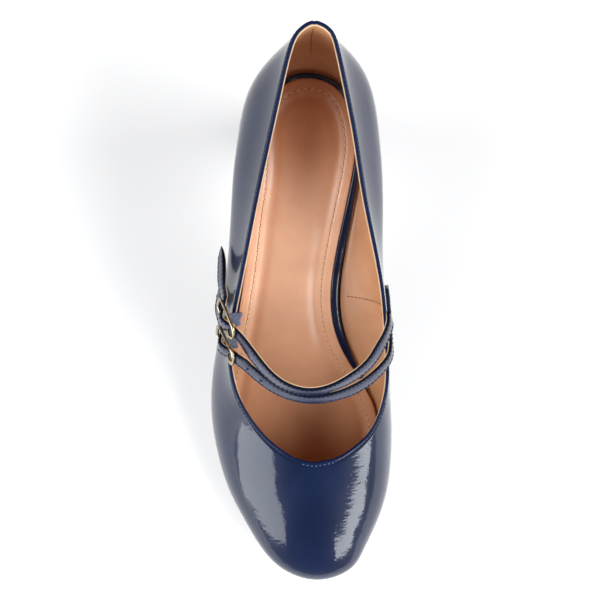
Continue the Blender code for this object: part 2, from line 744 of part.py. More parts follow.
def cut_slot(strap, frame):
    """The slot in a strap that its prong passes through."""
    bpy.ops.mesh.primitive_cube_add(size=1)
    cutter = bpy.context.object
    cutter.name = strap.name + "_slot"
    size = (PRONG_SLOT, 2 * (PRONG_RADIUS + GAP), 0.008)
    columns = (frame.along, frame.down, frame.out)
    middle = frame.at(BAR_OFFSET * 0.44, 0, 0)
    for vertex in cutter.data.vertices:
        local = np.array(vertex.co) * size
        vertex.co = middle + sum(column * part for column, part in zip(columns, local))
    form = bmesh.new()
    form.from_mesh(cutter.data)
    bmesh.ops.recalc_face_normals(form, faces=form.faces)
    form.to_mesh(cutter.data)
    form.free()
    cutter.hide_render = True
    cutter.display_type = "WIRE"
    cut = strap.modifiers.new("prong slot", "BOOLEAN")
    cut.operation = "DIFFERENCE"
    cut.solver = "EXACT"
    cut.object = cutter


def tube(name, centre, tangent_closed, radii, finish):
    """A round wire along points; a closed one joins its end to its start."""
    centre = np.asarray(centre)
    count = len(centre)
    if tangent_closed:
        tangent = np.roll(centre, -1, 0) - np.roll(centre, 1, 0)
    else:
        tangent = np.gradient(centre, axis=0)
    tangent /= np.linalg.norm(tangent, axis=1, keepdims=True)
    flat = np.cross(centre[count // 3] - centre[0], centre[2 * count // 3] - centre[0])
    flat = unit(flat) if np.linalg.norm(flat) > 1e-12 else unit(np.cross(tangent[0], (0.3, 1.0, 0.2)))
    points = []
    for i in range(count):
        side = unit(np.cross(tangent[i], flat))
        up = np.cross(side, tangent[i])
        for k in range(WIRE_SIDES):
            turn = 2 * math.pi * k / WIRE_SIDES
            points.append(centre[i] + (side * math.cos(turn) + up * math.sin(turn)) * radii[i])
    faces = []
    for i in range(count if tangent_closed else count - 1):
        j = (i + 1) % count
        for k in range(WIRE_SIDES):
            m = (k + 1) % WIRE_SIDES
            faces.append((i * WIRE_SIDES + k, i * WIRE_SIDES + m, j * WIRE_SIDES + m, j * WIRE_SIDES + k))
    if not tangent_closed:
        faces.append(tuple(range(WIRE_SIDES)))
        last = (count - 1) * WIRE_SIDES
        faces.append(tuple(last + k for k in reversed(range(WIRE_SIDES))))
    return add_object(name, points, faces, finish)


def make_buckle(name, frame):
    """The wire frame: a rounded oblong with a bar across its middle."""
    corner = FRAME_HALF * BUCKLE_CORNER
    centre = []
    corners = (
        (BAR_OFFSET - corner, FRAME_HALF - corner, 0.0),
        (-BAR_OFFSET + corner, FRAME_HALF - corner, 0.5),
        (-BAR_OFFSET + corner, -FRAME_HALF + corner, 1.0),
        (BAR_OFFSET - corner, -FRAME_HALF + corner, 1.5),
    )
    for along, down, start in corners:
        for turn in np.linspace(start, start + 0.5, 6) * math.pi:
            centre.append(frame.at(along + corner * math.cos(turn), down + corner * math.sin(turn), 0))
    buckle = tube(name, centre, True, [WIRE_RADIUS] * len(centre), "gold wire")
    ends = [frame.at(0, FRAME_HALF * share, 0) for share in (-1, -0.4, 0.4, 1)]
    bar = tube(name + "_bar", ends, False, [BAR_RADIUS] * len(ends), "gold wire")
    bar.hide_render = True
    bar.display_type = "WIRE"
    join = buckle.modifiers.new("middle bar", "BOOLEAN")
    join.operation = "UNION"
    join.solver = "EXACT"
    join.object = bar
    return buckle


def make_prong(name, frame):
    """The prong: from the middle bar, through the strap's slot, resting on the front bar."""
    start = BAR_RADIUS + GAP
    rest = WIRE_RADIUS + GAP + PRONG_RADIUS
    line = ((start, 0), (0.3 * BAR_OFFSET, 0), (0.55 * BAR_OFFSET, 0.45 * rest), (0.85 * BAR_OFFSET, rest))
    centre = [frame.at(along, 0, out) for along, out in line]
    centre.append(frame.at(BAR_OFFSET + WIRE_RADIUS, 0, rest))
    radii = [PRONG_RADIUS] * (len(centre) - 1) + [PRONG_RADIUS * 0.7]
    return tube(name, centre, False, radii, "gold wire")


def make_elastic(name, rib, frame):
    """The elastic tab: from inside the topline, over its edge and out to the buckle's middle bar."""
    rib = RIBS - rib
    half = ELASTIC_THICKNESS / 2
    rows = []
    along = unit(wall_point(rib + 0.1, 1.0) - wall_point(rib - 0.1, 1.0))
    for below in (ELASTIC_INSIDE, ELASTIC_INSIDE * 0.5, 0.0015):
        point, normal, rising = wall_frame(rib, height_below_topline(rib, below))
        rows.append((point - normal * (UPPER_WALL + ELASTIC_PLAY + half), along))
    point, normal, rising = wall_frame(rib, 1.0)
    clear = ELASTIC_PLAY + half
    for out, up in ((-UPPER_WALL - 1.35 * clear, 0.0004), (-0.6 * UPPER_WALL, 2 * clear)):
        rows.append((point + normal * out + rising * up, along))
    across = unit(along - frame.out * np.dot(frame.out, along))
    rows.append((frame.at(0, 0, -(BAR_RADIUS + 3 * GAP)), across))
    return ribbon(name, rows, ELASTIC_WIDTH, ELASTIC_THICKNESS, 22, "navy elastic")


def main():
    clear_scene()
    make_upper()
    make_insole()
    make_rim()
    make_outsole()
    make_heel()
    make_lift()
    sets = (
        ("rear", STRAP_REAR_ROOT, STRAP_REAR_ROUTE, BUCKLE_REAR_BARS, TIP_REAR, ELASTIC_REAR_AT),
        ("front", STRAP_FRONT_ROOT, STRAP_FRONT_ROUTE, BUCKLE_FRONT_BARS, TIP_FRONT, ELASTIC_FRONT_AT),
    )
    for place_name, root, route, bars, tip, elastic_at in sets:
        frame = BuckleFrame(bars)
        rows = strap_rows(root, route, frame, tip)
        strap = ribbon(
            "strap_" + place_name, rows, STRAP_WIDTH, STRAP_THICKNESS, STRAP_STEPS, "navy patent", True
        )
        cut_slot(strap, frame)
        make_buckle("buckle_" + place_name, frame)
        make_prong("prong_" + place_name, frame)
        make_elastic("elastic_" + place_name, elastic_at, frame)


main()
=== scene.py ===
"""Mary jane pump: its leather, lining, stitching, straps and buckles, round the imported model.

Metres, +Z up. +X is the inner side, -Y points to the toe. A station is the distance along the shoe from
the topline's back edge. Ribs number the upper's sections round the shoe: 0 at the back of the heel,
16 at the toe's tip, 1 to 15 on the inner side and 17 to 31 on the outer side.
"""

import math
from collections import namedtuple

import bmesh
import bpy
import numpy as np
from mathutils import Matrix


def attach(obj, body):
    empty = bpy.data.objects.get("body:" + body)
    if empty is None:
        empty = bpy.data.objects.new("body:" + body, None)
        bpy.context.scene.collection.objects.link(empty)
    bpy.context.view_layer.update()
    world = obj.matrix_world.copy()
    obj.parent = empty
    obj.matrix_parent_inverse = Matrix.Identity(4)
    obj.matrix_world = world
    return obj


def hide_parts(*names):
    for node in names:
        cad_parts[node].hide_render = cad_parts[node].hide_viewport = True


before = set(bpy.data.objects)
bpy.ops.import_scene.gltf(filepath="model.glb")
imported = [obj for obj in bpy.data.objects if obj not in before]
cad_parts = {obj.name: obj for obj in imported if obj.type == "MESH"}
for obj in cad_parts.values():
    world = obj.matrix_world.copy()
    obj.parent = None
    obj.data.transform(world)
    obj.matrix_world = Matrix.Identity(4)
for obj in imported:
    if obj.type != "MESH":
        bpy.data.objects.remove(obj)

bl_info = {
    "name": "Mary jane pump",
    "version": (1, 0, 0),
    "blender": (4, 5, 0),
    "location": "3D View > Sidebar > Pump",
    "description": "Builds a patent mary jane pump piece by piece",
    "category": "Object",
}

# Sizes of the last, the leather and the straps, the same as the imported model's
LAST_LENGTH = 0.228
BALL_WIDTH = 0.0832
HEEL_HEIGHT = 0.075
BACK_HEIGHT = 0.056
INSTEP_HEIGHT = 0.039
TOE_SPRING = 0.0068
UPPER_WALL = 0.0018
FOOT_WALL = 1.15 * UPPER_WALL
SOLE_THICKNESS = 0.0029
SOLE_EDGE = 0.0008
INSOLE_THICKNESS = 0.0042
INSOLE_INSET = 0.0044
RIM_WIDTH = 0.0034
RIM_ENDS = 9.0
HEEL_STATION = 0.0245
HEEL_TIP_LENGTH = 0.026
HEEL_TIP_WIDTH = 0.026
HEEL_SEAT_LENGTH = 0.046
HEEL_SEAT_INSET = 0.0010
LIFT_THICKNESS = 0.005
STRAP_WIDTH = 0.0065
STRAP_THICKNESS = 0.0016
STRAP_PLAY = 0.0006
BUCKLE_LENGTH = 0.0180
WIRE_RADIUS = 0.0009
BAR_RADIUS = 0.0007
PRONG_RADIUS = 0.0006
BUCKLE_CORNER = 0.62
ELASTIC_WIDTH = 0.0055
ELASTIC_THICKNESS = 0.0009
ELASTIC_PLAY = 0.0007
ELASTIC_INSIDE = 0.009
GAP = 0.0003
BALL_REST = SOLE_THICKNESS + GAP

# The last's underside: station as a share of the length, rise as a share of the heel's height and of
# the toe spring.
Bottom = namedtuple("Bottom", "station heel spring")
BOTTOM = [
    Bottom(0.000, 1.000, 0.00),
    Bottom(0.088, 0.958, 0.00),
    Bottom(0.175, 0.909, 0.00),
    Bottom(0.263, 0.819, 0.00),
    Bottom(0.351, 0.666, 0.00),
    Bottom(0.439, 0.478, 0.00),
    Bottom(0.526, 0.272, 0.00),
    Bottom(0.614, 0.090, 0.00),
    Bottom(0.680, 0.012, 0.00),
    Bottom(0.728, -0.005, 0.00),
    Bottom(0.772, -0.004, 0.00),
    Bottom(0.833, 0.000, 0.12),
    Bottom(0.921, 0.000, 0.48),
    Bottom(1.000, 0.000, 1.00),
]

# How the wall's curve is held: the pull at the topline and the height above the widest line that it is
# measured from, and the weights of the foot's point and the top's at the widest line
TOP_PULL = 0.34
WIDE_RISE = 0.4
FOOT_WEIGHT = 0.0156
TOP_WEIGHT = 0.1055

# The upper's sections, from the back of the heel to the toe's tip. Stations are shares of the length
# and sides are shares of the ball's width, inner side then outer side, for the feather line, for the
# widest line and for the topline. instep goes from the back's height to the instep's. low and shoulder
# are heights on the wall as shares of its rise, lean is the wall's slope at the topline in degrees,
# and inset is how far the insole stays inside the feather line, as shares of INSOLE_INSET.
Cut = namedtuple(
    "Cut",
    "feather feather_in feather_out wide wide_in wide_out top top_in top_out "
    "instep low shoulder lean inset_in inset_out",
)
SECTIONS = [
    Cut(0.024, 0.004, -0.004, -0.003, 0.004, -0.004, 0.001, 0.005, -0.005, 0.00, 0.21, 0.54, 3, 1.00, 1.00),
    Cut(0.039, 0.154, 0.134, 0.018, 0.183, 0.146, 0.011, 0.074, 0.058, 0.04, 0.21, 0.54, 8, 1.00, 1.00),
    Cut(0.082, 0.253, 0.248, 0.075, 0.297, 0.274, 0.035, 0.111, 0.100, 0.14, 0.21, 0.54, 16, 1.00, 1.00),
    Cut(0.145, 0.297, 0.291, 0.152, 0.340, 0.327, 0.096, 0.156, 0.143, 0.38, 0.22, 0.54, 24, 1.00, 1.00),
    Cut(0.206, 0.294, 0.293, 0.210, 0.360, 0.351, 0.173, 0.207, 0.191, 0.65, 0.24, 0.55, 24, 1.14, 1.00),
    Cut(0.281, 0.264, 0.320, 0.281, 0.374, 0.367, 0.259, 0.256, 0.244, 0.81, 0.27, 0.57, 20, 1.26, 1.00),
    Cut(0.360, 0.232, 0.346, 0.360, 0.385, 0.385, 0.346, 0.322, 0.294, 0.88, 0.29, 0.58, 14, 1.35, 1.00),
    Cut(0.439, 0.221, 0.379, 0.439, 0.414, 0.415, 0.430, 0.381, 0.343, 0.91, 0.29, 0.58, 9, 1.38, 1.00),
    Cut(0.518, 0.274, 0.417, 0.518, 0.459, 0.448, 0.509, 0.416, 0.383, 0.95, 0.27, 0.57, 9, 1.32, 1.00),
    Cut(0.596, 0.378, 0.456, 0.596, 0.475, 0.482, 0.579, 0.440, 0.377, 0.98, 0.23, 0.56, 14, 0.84, 0.95),
    Cut(0.671, 0.459, 0.464, 0.675, 0.500, 0.486, 0.638, 0.425, 0.326, 1.00, 0.20, 0.55, 34, 0.54, 0.60),
    Cut(0.741, 0.476, 0.432, 0.747, 0.505, 0.453, 0.687, 0.375, 0.240, 1.00, 0.18, 0.52, 50, 0.54, 0.54),
    Cut(0.808, 0.460, 0.376, 0.817, 0.484, 0.392, 0.719, 0.297, 0.153, 1.00, 0.16, 0.48, 60, 0.54, 0.54),
    Cut(0.872, 0.408, 0.286, 0.882, 0.427, 0.300, 0.742, 0.203, 0.063, 1.00, 0.14, 0.43, 68, 0.54, 0.54),
    Cut(0.926, 0.334, 0.190, 0.936, 0.354, 0.206, 0.750, 0.136, 0.002, 1.00, 0.13, 0.39, 72, 0.54, 0.54),
    Cut(0.968, 0.244, 0.070, 0.977, 0.272, 0.088, 0.753, 0.091, -0.034, 1.00, 0.12, 0.37, 74, 0.54, 0.54),
    Cut(0.988, 0.093, -0.093, 0.9965, 0.095, -0.095, 0.754, 0.063, -0.063, 1.00, 0.12, 0.36, 75, 0.54, 0.54),
]

# The heel's outline: the rib that gives its seat's width, its widest place and its corners as shares of
# its length, its narrowing along the side and at the breast, and how deep the breast is hollowed
HEEL_SEAT_RIB = 3.0
HEEL_WIDEST = 0.565
HEEL_CORNER = 0.09
HEEL_SIDE_TAPER = 0.995
HEEL_BREAST_TAPER = 0.985
BREAST_HOLLOW = 0.002

# The heel's sections from its lower end to the seat: height as a share, then how far each size has
# grown from the tip's to the seat's.
HeelSection = namedtuple("HeelSection", "height grown hollow")
HEEL_SECTIONS = [
    HeelSection(0.00, 0.00, 0.8),
    HeelSection(0.32, 0.05, 1.0),
    HeelSection(0.58, 0.22, 1.0),
    HeelSection(0.78, 0.52, 0.8),
    HeelSection(0.91, 0.82, 0.4),
    HeelSection(1.00, 1.00, 0.0),
]

# Routes of the straps above the opening, from the inner side to the outer side: side as a share of
# the ball's width, station as a share of the length, rise above the last's underside as a share of the
# instep's height, and the band's tilt from upright in degrees.
Route = namedtuple("Route", "side station rise tilt")
STRAP_REAR_ROUTE = [
    Route(0.411, 0.481, 1.160, 22),
    Route(0.384, 0.506, 1.330, 30),
    Route(0.352, 0.526, 1.455, 34),
    Route(0.309, 0.548, 1.595, 34),
    Route(0.246, 0.568, 1.700, 32),
    Route(0.139, 0.590, 1.800, 27),
    Route(0.022, 0.600, 1.835, 24),
    Route(-0.118, 0.587, 1.780, 25),
    Route(-0.218, 0.556, 1.610, 28),
    Route(-0.278, 0.528, 1.440, 28),
]
STRAP_FRONT_ROUTE = [
    Route(0.428, 0.541, 1.145, 24),
    Route(0.381, 0.565, 1.285, 32),
    Route(0.332, 0.581, 1.375, 36),
    Route(0.273, 0.595, 1.455, 37),
    Route(0.154, 0.612, 1.550, 34),
    Route(0.031, 0.618, 1.590, 31),
    Route(-0.131, 0.603, 1.505, 32),
    Route(-0.242, 0.575, 1.370, 34),
    Route(-0.292, 0.559, 1.290, 32),
]

# Where each strap is rooted on the inner wall, as section numbers, and how far below the topline
STRAP_REAR_ROOT = [(6.85, 0.0041), (7.15, 0.0035), (7.40, 0.0029)]
STRAP_FRONT_ROOT = [(7.48, 0.0082), (7.75, 0.0060), (8.00, 0.0036)]

# Where each buckle lies: its rear and front bars, in the same shares as a route
BUCKLE_REAR_BARS = (Route(-0.425, 0.445, 0.930, 16), Route(-0.362, 0.501, 1.300, 16))
BUCKLE_FRONT_BARS = (Route(-0.434, 0.497, 0.920, 16), Route(-0.365, 0.545, 1.300, 16))

# The free tips behind the buckles
TIP_REAR = [
    Route(-0.411, 0.415, 0.830, 20),
    Route(-0.414, 0.385, 0.680, 22),
    Route(-0.416, 0.342, 0.480, 22),
]
TIP_FRONT = [
    Route(-0.430, 0.464, 0.760, 18),
    Route(-0.429, 0.438, 0.620, 20),
    Route(-0.427, 0.413, 0.520, 20),
]

# Where the elastic tabs cross the outer topline, as section numbers on that side
ELASTIC_REAR_AT = 7.52
ELASTIC_FRONT_AT = 8.10

# A strap's outer face points to the toe where its Y part is above this, and elsewhere to the side that
# the strap is on
ACROSS_LIMIT = 0.3

# Stitches: pitch, length, thread radius and distance from the edge
Stitch = namedtuple("Stitch", "pitch length radius edge")
TOPLINE_STITCH = Stitch(0.0017, 0.00105, 0.00022, 0.0013)
STRAP_STITCH = Stitch(0.0019, 0.0013, 0.00013, 0.00085)
LINING_STITCH = Stitch(0.0019, 0.0013, 0.00016, 0.0)
SOCK_STITCH = Stitch(0.00285, 0.0019, 0.00027, 0.0042)

# The rings of one stitch: place along it and size as shares, and sinking in thread radii
STITCH_RINGS = (
    (-1.0, 0.25, -1.1),
    (-0.86, 0.8, -0.3),
    (-0.45, 1.0, 0.0),
    (0.45, 1.0, 0.0),
    (0.86, 0.8, -0.3),
    (1.0, 0.25, -1.1),
)
STITCH_SIDES = 6

# A needle hole, drawn as a dark disc of painted shade: its sides, and its size and heights in thread radii
HOLE_SIDES = 8
HOLE_SIZE = 1.05
HOLE_RIM = 0.15
HOLE_MIDDLE = 0.28

# The patent shell: its mesh, the groove that its stitches lie in, how far it is lasted under, how round
# its fold is, and which levels below the topline the folded layer follows
SHELL_RIBS = 576
SHELL_LEVELS = 110
SHELL_CROWDING = 0.55
STITCH_GROOVE_HALF = 0.00045
STITCH_GROOVE_DEPTH = 0.00022
STITCH_SINK = 0.00018
BACK_SEAM_HALF = 0.00035
LASTED_UNDER = (0.0016, 0.0005)
FOLD_ROUND = 0.8
FOLD_STEPS = 9
FOLD_LEVELS = (2, 5, 9)

# The lining: its mesh, the bevel, height and hidden depth of its cut edge, how far it turns in under the
# insole, how far its stitches clear it, and its seam at the back
LINING_RIBS = 480
LINING_LEVELS = 40
EDGE_BEVEL = 0.00024
EDGE_HEIGHT = 0.0005
EDGE_DEPTH = 0.002
LINING_TURN = 0.0009
LINING_CLEAR = 0.0001
LINING_SEAM_HALF = 0.00013
LINING_SEAM_RISE = 0.00006

# The sock: its mesh, its skirt's depths, its hollow across, its rolled edge, the groove of its stitches,
# its dish, and the rib at which its stitches end
SOCK_STATIONS = 190
SOCK_LANES = 61
SOCK_LANE_CROWDING = 1.35
SOCK_MARGIN = 0.00004
SOCK_SKIRT = (0.4, 0.9)
SOCK_HOLLOW = 0.14
SOCK_ROLL = 0.0013
SOCK_ROLL_DEPTH = 0.0009
SOCK_GROOVE_HALF = 0.0006
SOCK_GROOVE_DEPTH = 0.00022
SOCK_DISH_AT = 0.0072
SOCK_DISH_HALF = 0.0026
SOCK_STITCH_ENDS = 12.6

# The rim band's section, as shares of its width and of the insole's thickness
RIM_FOOT = 0.05
RIM_SHOULDER = 0.76
RIM_HEIGHT = 0.93

# The sock's tone along the shoe, as places in Y and shares from deep tan (0) to pale tan (1): it holds
# part of the light and shade that the photo shows there
SOCK_LIGHT_AND_SHADE = (
    (-0.150, 0.04),
    (-0.118, 0.30),
    (-0.090, 0.48),
    (-0.055, 1.0),
    (-0.032, 0.97),
    (-0.012, 0.40),
    (0.010, 0.04),
    (0.030, 0.0),
)

# The straps: steps along them, at their roots and between their stitches' ends, the thickness of the
# folded patent, its relief and its stitches' groove, the tip's length as a share of the width, and the
# width share from which an edge is painted
STRAP_STEPS = 300
ROOT_STEPS = 26
STITCHED_STEPS = slice(4, 292)
FOLDED_PATENT = 0.00120
STRAP_RELIEF = 0.00007
STRAP_GROOVE = 1.2 * STRAP_RELIEF
TIP_LENGTH = 1.35
PAINTED_FROM = 0.8

# The front strap's punched holes: their places in X, and their rings from the inside out, as radius
# and height above the strap
PUNCHED_PLACES = (-0.0236, -0.0181)
PUNCHED_RINGS = ((0.0006, 0.00006), (0.00074, 0.00018), (0.00086, 0.00002))
PUNCHED_SIDES = 14
PUNCHED_CLEAR = 0.0001

# The prong: steps along it, and its thickness at its eye and at its point, as shares of its wire
PRONG_STEPS = 60
PRONG_START = (0.3, 0.75, 0.95)
PRONG_POINT = (0.98, 0.94, 0.88, 0.78, 0.6, 0.25)

# A direction that no straight wire of the buckles follows
OFF_AXIS = (0.3, 1.0, 0.2)

# The elastic: steps along it, the share of its width that is flat, and its ribs' height and turn a step
ELASTIC_STEPS = 120
ELASTIC_FLAT = 0.9
ELASTIC_RIB_TURN = 1.9
ELASTIC_RIPPLE = 0.00005

# How far the outsole stays short of the toe, and the angles above which its edges and the lift's are sharp
SOLE_MARGIN = 0.00005
SHARP_EDGE = 45
SHARP_LIFT_EDGE = 40

# The heel: points round it and, for its lift, sizes as shares of the heel's lower end with their heights
HEEL_SIDES = 132
LIFT_PROFILE = (
    (0.0, 0.0002),
    (0.97, 0.0),
    (1.0, 0.0004),
    (1.0, LIFT_THICKNESS - 0.0003),
    (0.985, LIFT_THICKNESS),
    (0.0, LIFT_THICKNESS),
)

# Softboxes: turn from the inner side and rise in degrees, distance, width and height in metres, roll in
# degrees, radiance and colour
Softbox = namedtuple("Softbox", "name turn rise away width height roll radiance tint")
COOL = (0.95, 0.98, 1.0)
WHITE = (1.0, 1.0, 1.0)
SOFTBOXES = (
    Softbox("Left front softbox", -140.5, 16.4, 0.45, 0.27, 0.23, 51.0, 6.2, COOL),
    Softbox("Right front softbox", -52.0, 16.6, 0.45, 0.25, 0.09, -21.0, 10.5, COOL),
    Softbox("Right softbox", -8.0, 42.0, 1.00, 0.90, 0.60, 0.0, 9.0, WHITE),
    Softbox("Left softbox", 190.0, 42.0, 1.00, 0.90, 0.60, 0.0, 6.4, WHITE),
)
LIGHT_AIM = (0.0, -0.13, 0.04)

# The floor, the surroundings from the horizon upwards, and the camera
FLOOR_HALF = 3.0
FLOOR_HEIGHT = -0.0002
FLOOR_TONES = [(0.3, (0.61, 0.61, 0.613)), (0.7, (0.63, 0.63, 0.632))]
SKY_TONES = [
    (0.0, (0.353, 0.353, 0.355)),
    (0.15, (0.303, 0.303, 0.306)),
    (0.4, (0.17, 0.172, 0.178)),
    (1.0, (0.1, 0.102, 0.11)),
]
CAMERA_PLACE = (-0.0203, -0.0756, 0.520)
CAMERA_AIM = (-0.0013, -0.0756, 0.045)

RIBS = 2 * (len(SECTIONS) - 1)
UP = np.array([0.0, 0.0, 1.0])


def open_spline(knots, values):
    """A natural cubic curve through the values, straight beyond its ends."""
    knots = np.asarray(knots, float)
    values = np.asarray(values, float)
    count = len(knots)
    spans = np.diff(knots)
    matrix = np.eye(count)
    right = np.zeros(values.shape)
    for i in range(1, count - 1):
        matrix[i, i - 1 : i + 2] = spans[i - 1], 2 * (spans[i - 1] + spans[i]), spans[i]
        after = (values[i + 1] - values[i]) / spans[i]
        before = (values[i] - values[i - 1]) / spans[i - 1]
        right[i] = 6 * (after - before)
    bends = np.linalg.solve(matrix, right)

    def value(at):
        at = np.clip(np.asarray(at, float), knots[0], knots[-1])
        i = np.clip(np.searchsorted(knots, at) - 1, 0, count - 2)
        span = spans[i]
        a = (knots[i + 1] - at) / span
        b = 1 - a
        if values.ndim > 1:
            a, b, span = a[..., None], b[..., None], span[..., None]
        curve = (a**3 - a) * bends[i] + (b**3 - b) * bends[i + 1]
        return a * values[i] + b * values[i + 1] + curve * span**2 / 6

    return value


def closed_spline(values):
    """A smooth closed curve through evenly numbered values."""
    values = np.asarray(values, float)
    count = len(values)
    matrix = np.zeros((count, count))
    for i in range(count):
        matrix[i, i] = 4
        matrix[i, i - 1] += 1
        matrix[i, (i + 1) % count] += 1
    right = 6 * (np.roll(values, -1, 0) - 2 * values + np.roll(values, 1, 0))
    bends = np.linalg.solve(matrix, right)

    def value(at):
        at = np.asarray(at, float) % count
        i = np.floor(at).astype(int) % count
        j = (i + 1) % count
        b = at - np.floor(at)
        if values.ndim > 1:
            b = b[..., None]
        a = 1 - b
        return a * values[i] + b * values[j] + ((a**3 - a) * bends[i] + (b**3 - b) * bends[j]) / 6

    return value


def path_knots(points):
    """Distance along a path at each of its points."""
    return np.append(0, np.cumsum(np.linalg.norm(np.diff(points, axis=0), axis=1)))


def unit(vectors):
    """Vectors of length one, along the last axis."""
    return vectors / np.maximum(np.linalg.norm(vectors, axis=-1, keepdims=True), 1e-12)


def level(vectors):
    """The level directions of vectors, of length one."""
    return unit(vectors * (1.0, 1.0, 0.0))


def round_the_shoe(inner, outer=None, sign=1):
    """A closed curve by rib number, from one column of the inner side and one of the outer side."""
    inner_side = [getattr(row, inner) for row in SECTIONS]
    outer_side = [sign * getattr(row, outer or inner) for row in SECTIONS]
    return closed_spline(inner_side + outer_side[-2:0:-1])


def side_round_the_shoe(name):
    """A closed curve of sideways places: plus on the inner side, minus on the outer side."""
    return round_the_shoe(name + "_in", name + "_out", -1)


FEATHER_STATION, FEATHER_SIDE = round_the_shoe("feather"), side_round_the_shoe("feather")
WIDE_STATION, WIDE_SIDE = round_the_shoe("wide"), side_round_the_shoe("wide")
TOP_STATION, TOP_SIDE = round_the_shoe("top"), side_round_the_shoe("top")
INSTEP_PART = round_the_shoe("instep")
LOW_PART = round_the_shoe("low")
SHOULDER_PART = round_the_shoe("shoulder")
LEAN = round_the_shoe("lean")
INSET = round_the_shoe("inset_in", "inset_out")
HEEL_RISE = open_spline([row.station for row in BOTTOM], [row.heel for row in BOTTOM])
SPRING_RISE = open_spline([row.station for row in BOTTOM], [row.spring for row in BOTTOM])


def bottom_height(station):
    """Height of the last's underside at a station in metres."""
    share = np.asarray(station, float) / LAST_LENGTH
    return BALL_REST + HEEL_RISE(share) * (HEEL_HEIGHT - BALL_REST) + SPRING_RISE(share) * TOE_SPRING


def place(side, station, height):
    """World points from sideways places, stations and heights in metres."""
    return np.stack([side, HEEL_STATION - station, height], axis=-1)


def wall_controls(rib):
    """The five control points of the wall's outer curve at each rib number."""
    rib = np.asarray(rib, float)
    feather_at = FEATHER_STATION(rib) * LAST_LENGTH
    top_at = TOP_STATION(rib) * LAST_LENGTH
    foot_height = bottom_height(feather_at)
    rise = BACK_HEIGHT + (INSTEP_HEIGHT - BACK_HEIGHT) * INSTEP_PART(rib)
    foot = place(FEATHER_SIDE(rib) * BALL_WIDTH, feather_at, foot_height)
    top = place(TOP_SIDE(rib) * BALL_WIDTH, top_at, bottom_height(top_at) + rise)
    wide = place(WIDE_SIDE(rib) * BALL_WIDTH, WIDE_STATION(rib) * LAST_LENGTH, foot_height)
    lean = np.radians(LEAN(rib))[..., None]
    leaving = level(top - wide) * np.sin(lean) + UP * np.cos(lean)
    above_wide = wide + UP * (WIDE_RISE * rise)[..., None]
    reach = np.linalg.norm(top - above_wide, axis=-1, keepdims=True)
    below_top = top - leaving * reach * TOP_PULL
    # The widest line lies three quarters along the first half of the curve
    low = (wide - FOOT_WEIGHT * foot - TOP_WEIGHT * below_top) / (1 - FOOT_WEIGHT - TOP_WEIGHT)
    shoulder = low.copy()
    low[..., 2] = foot_height + LOW_PART(rib) * rise
    shoulder[..., 2] = foot_height + SHOULDER_PART(rib) * rise
    return foot, low, shoulder, below_top, top


def cubic(a, b, c, d, part):
    """A cubic Bezier curve."""
    rest = 1 - part
    return rest**3 * a + 3 * rest**2 * part * b + 3 * rest * part**2 * c + part**3 * d


def wall_point(rib, height):
    """Outer surface of the upper: height runs from 0 at the feather line to 1 at the topline."""
    foot, low, shoulder, below_top, top = wall_controls(rib)
    height = np.broadcast_to(np.asarray(height, float), np.shape(rib))[..., None]
    middle = (low + 2 * shoulder + below_top) / 4
    lower = cubic(foot, low, (low + shoulder) / 2, middle, np.clip(2 * height, 0, 1))
    upper = cubic(middle, (shoulder + below_top) / 2, below_top, top, np.clip(2 * height - 1, 0, 1))
    return np.where(height < 0.5, lower, upper)


def wall_frame(rib, height):
    """Points of the outer surface with their outward normals and their directions up the wall."""
    rib = np.asarray(rib, float)
    height = np.broadcast_to(np.asarray(height, float), rib.shape)
    step = 0.01
    across = wall_point(rib + step, height) - wall_point(rib - step, height)
    rising = wall_point(rib, np.clip(height + step, 0, 1)) - wall_point(rib, np.clip(height - step, 0, 1))
    return wall_point(rib, height), unit(np.cross(rising, across)), unit(rising)


def wall_grid(count, shares):
    """The wall's points, normals and rising directions at even ribs and the given heights."""
    rib, height = np.meshgrid(np.arange(count) * RIBS / count, shares, indexing="ij")
    return wall_frame(rib, height)


def below_last(points):
    """How far each point up the wall lies below the last one, measured along the wall."""
    steps = np.linalg.norm(np.diff(points, axis=-2), axis=-1)
    below = np.cumsum(steps[..., ::-1], axis=-1)[..., ::-1]
    return np.append(below, np.zeros(below.shape[:-1] + (1,)), axis=-1)


def height_below_topline(rib, distance, lowest=0.5, count=60):
    """The wall heights that lie a distance below the topline, measured along the wall."""
    heights = np.linspace(lowest, 1.0, count)
    grid = np.meshgrid(np.atleast_1d(rib), heights, indexing="ij")
    found = [np.interp(-distance, -below, heights) for below in below_last(wall_point(*grid))]
    return np.array(found).reshape(np.shape(rib))


def inside_feather(ribs, distance, closed=False):
    """The feather line at rib numbers, moved inwards by a distance: sideways places and stations."""
    side = FEATHER_SIDE(ribs) * BALL_WIDTH
    station = FEATHER_STATION(ribs) * LAST_LENGTH
    if closed:
        across, along = (np.gradient(np.append(line, line[:1]))[:-1] for line in (side, station))
    else:
        across, along = np.gradient(side), np.gradient(station)
    size = np.hypot(along, across)
    return side - along / size * distance, station + across / size * distance


def offset_outline(inset):
    """The feather line moved inwards: stations and sides of its two halves, from heel to toe."""
    count = 640
    ribs = np.linspace(0, RIBS, count, endpoint=False)
    side, station = inside_feather(ribs, inset(ribs) if callable(inset) else inset, closed=True)
    tip = int(np.argmax(station))
    near_heel = (ribs < 3) | (ribs > RIBS - 3)
    back = int(np.argmin(np.where(near_heel, station, LAST_LENGTH)))
    order = np.roll(np.arange(count), -back)
    cut = int(np.where(order == tip)[0][0])
    inner = order[: cut + 1]
    outer = np.append(order[cut:], order[0])[::-1]
    return station[inner], side[inner], station[outer], side[outer]


def sides_at(outline, stations):
    """Inner and outer sideways places of an outline at given stations."""
    inner_at, inner_side, outer_at, outer_side = outline
    inner = np.interp(stations, np.maximum.accumulate(inner_at), inner_side)
    outer = np.interp(stations, np.maximum.accumulate(outer_at), outer_side)
    return inner, outer


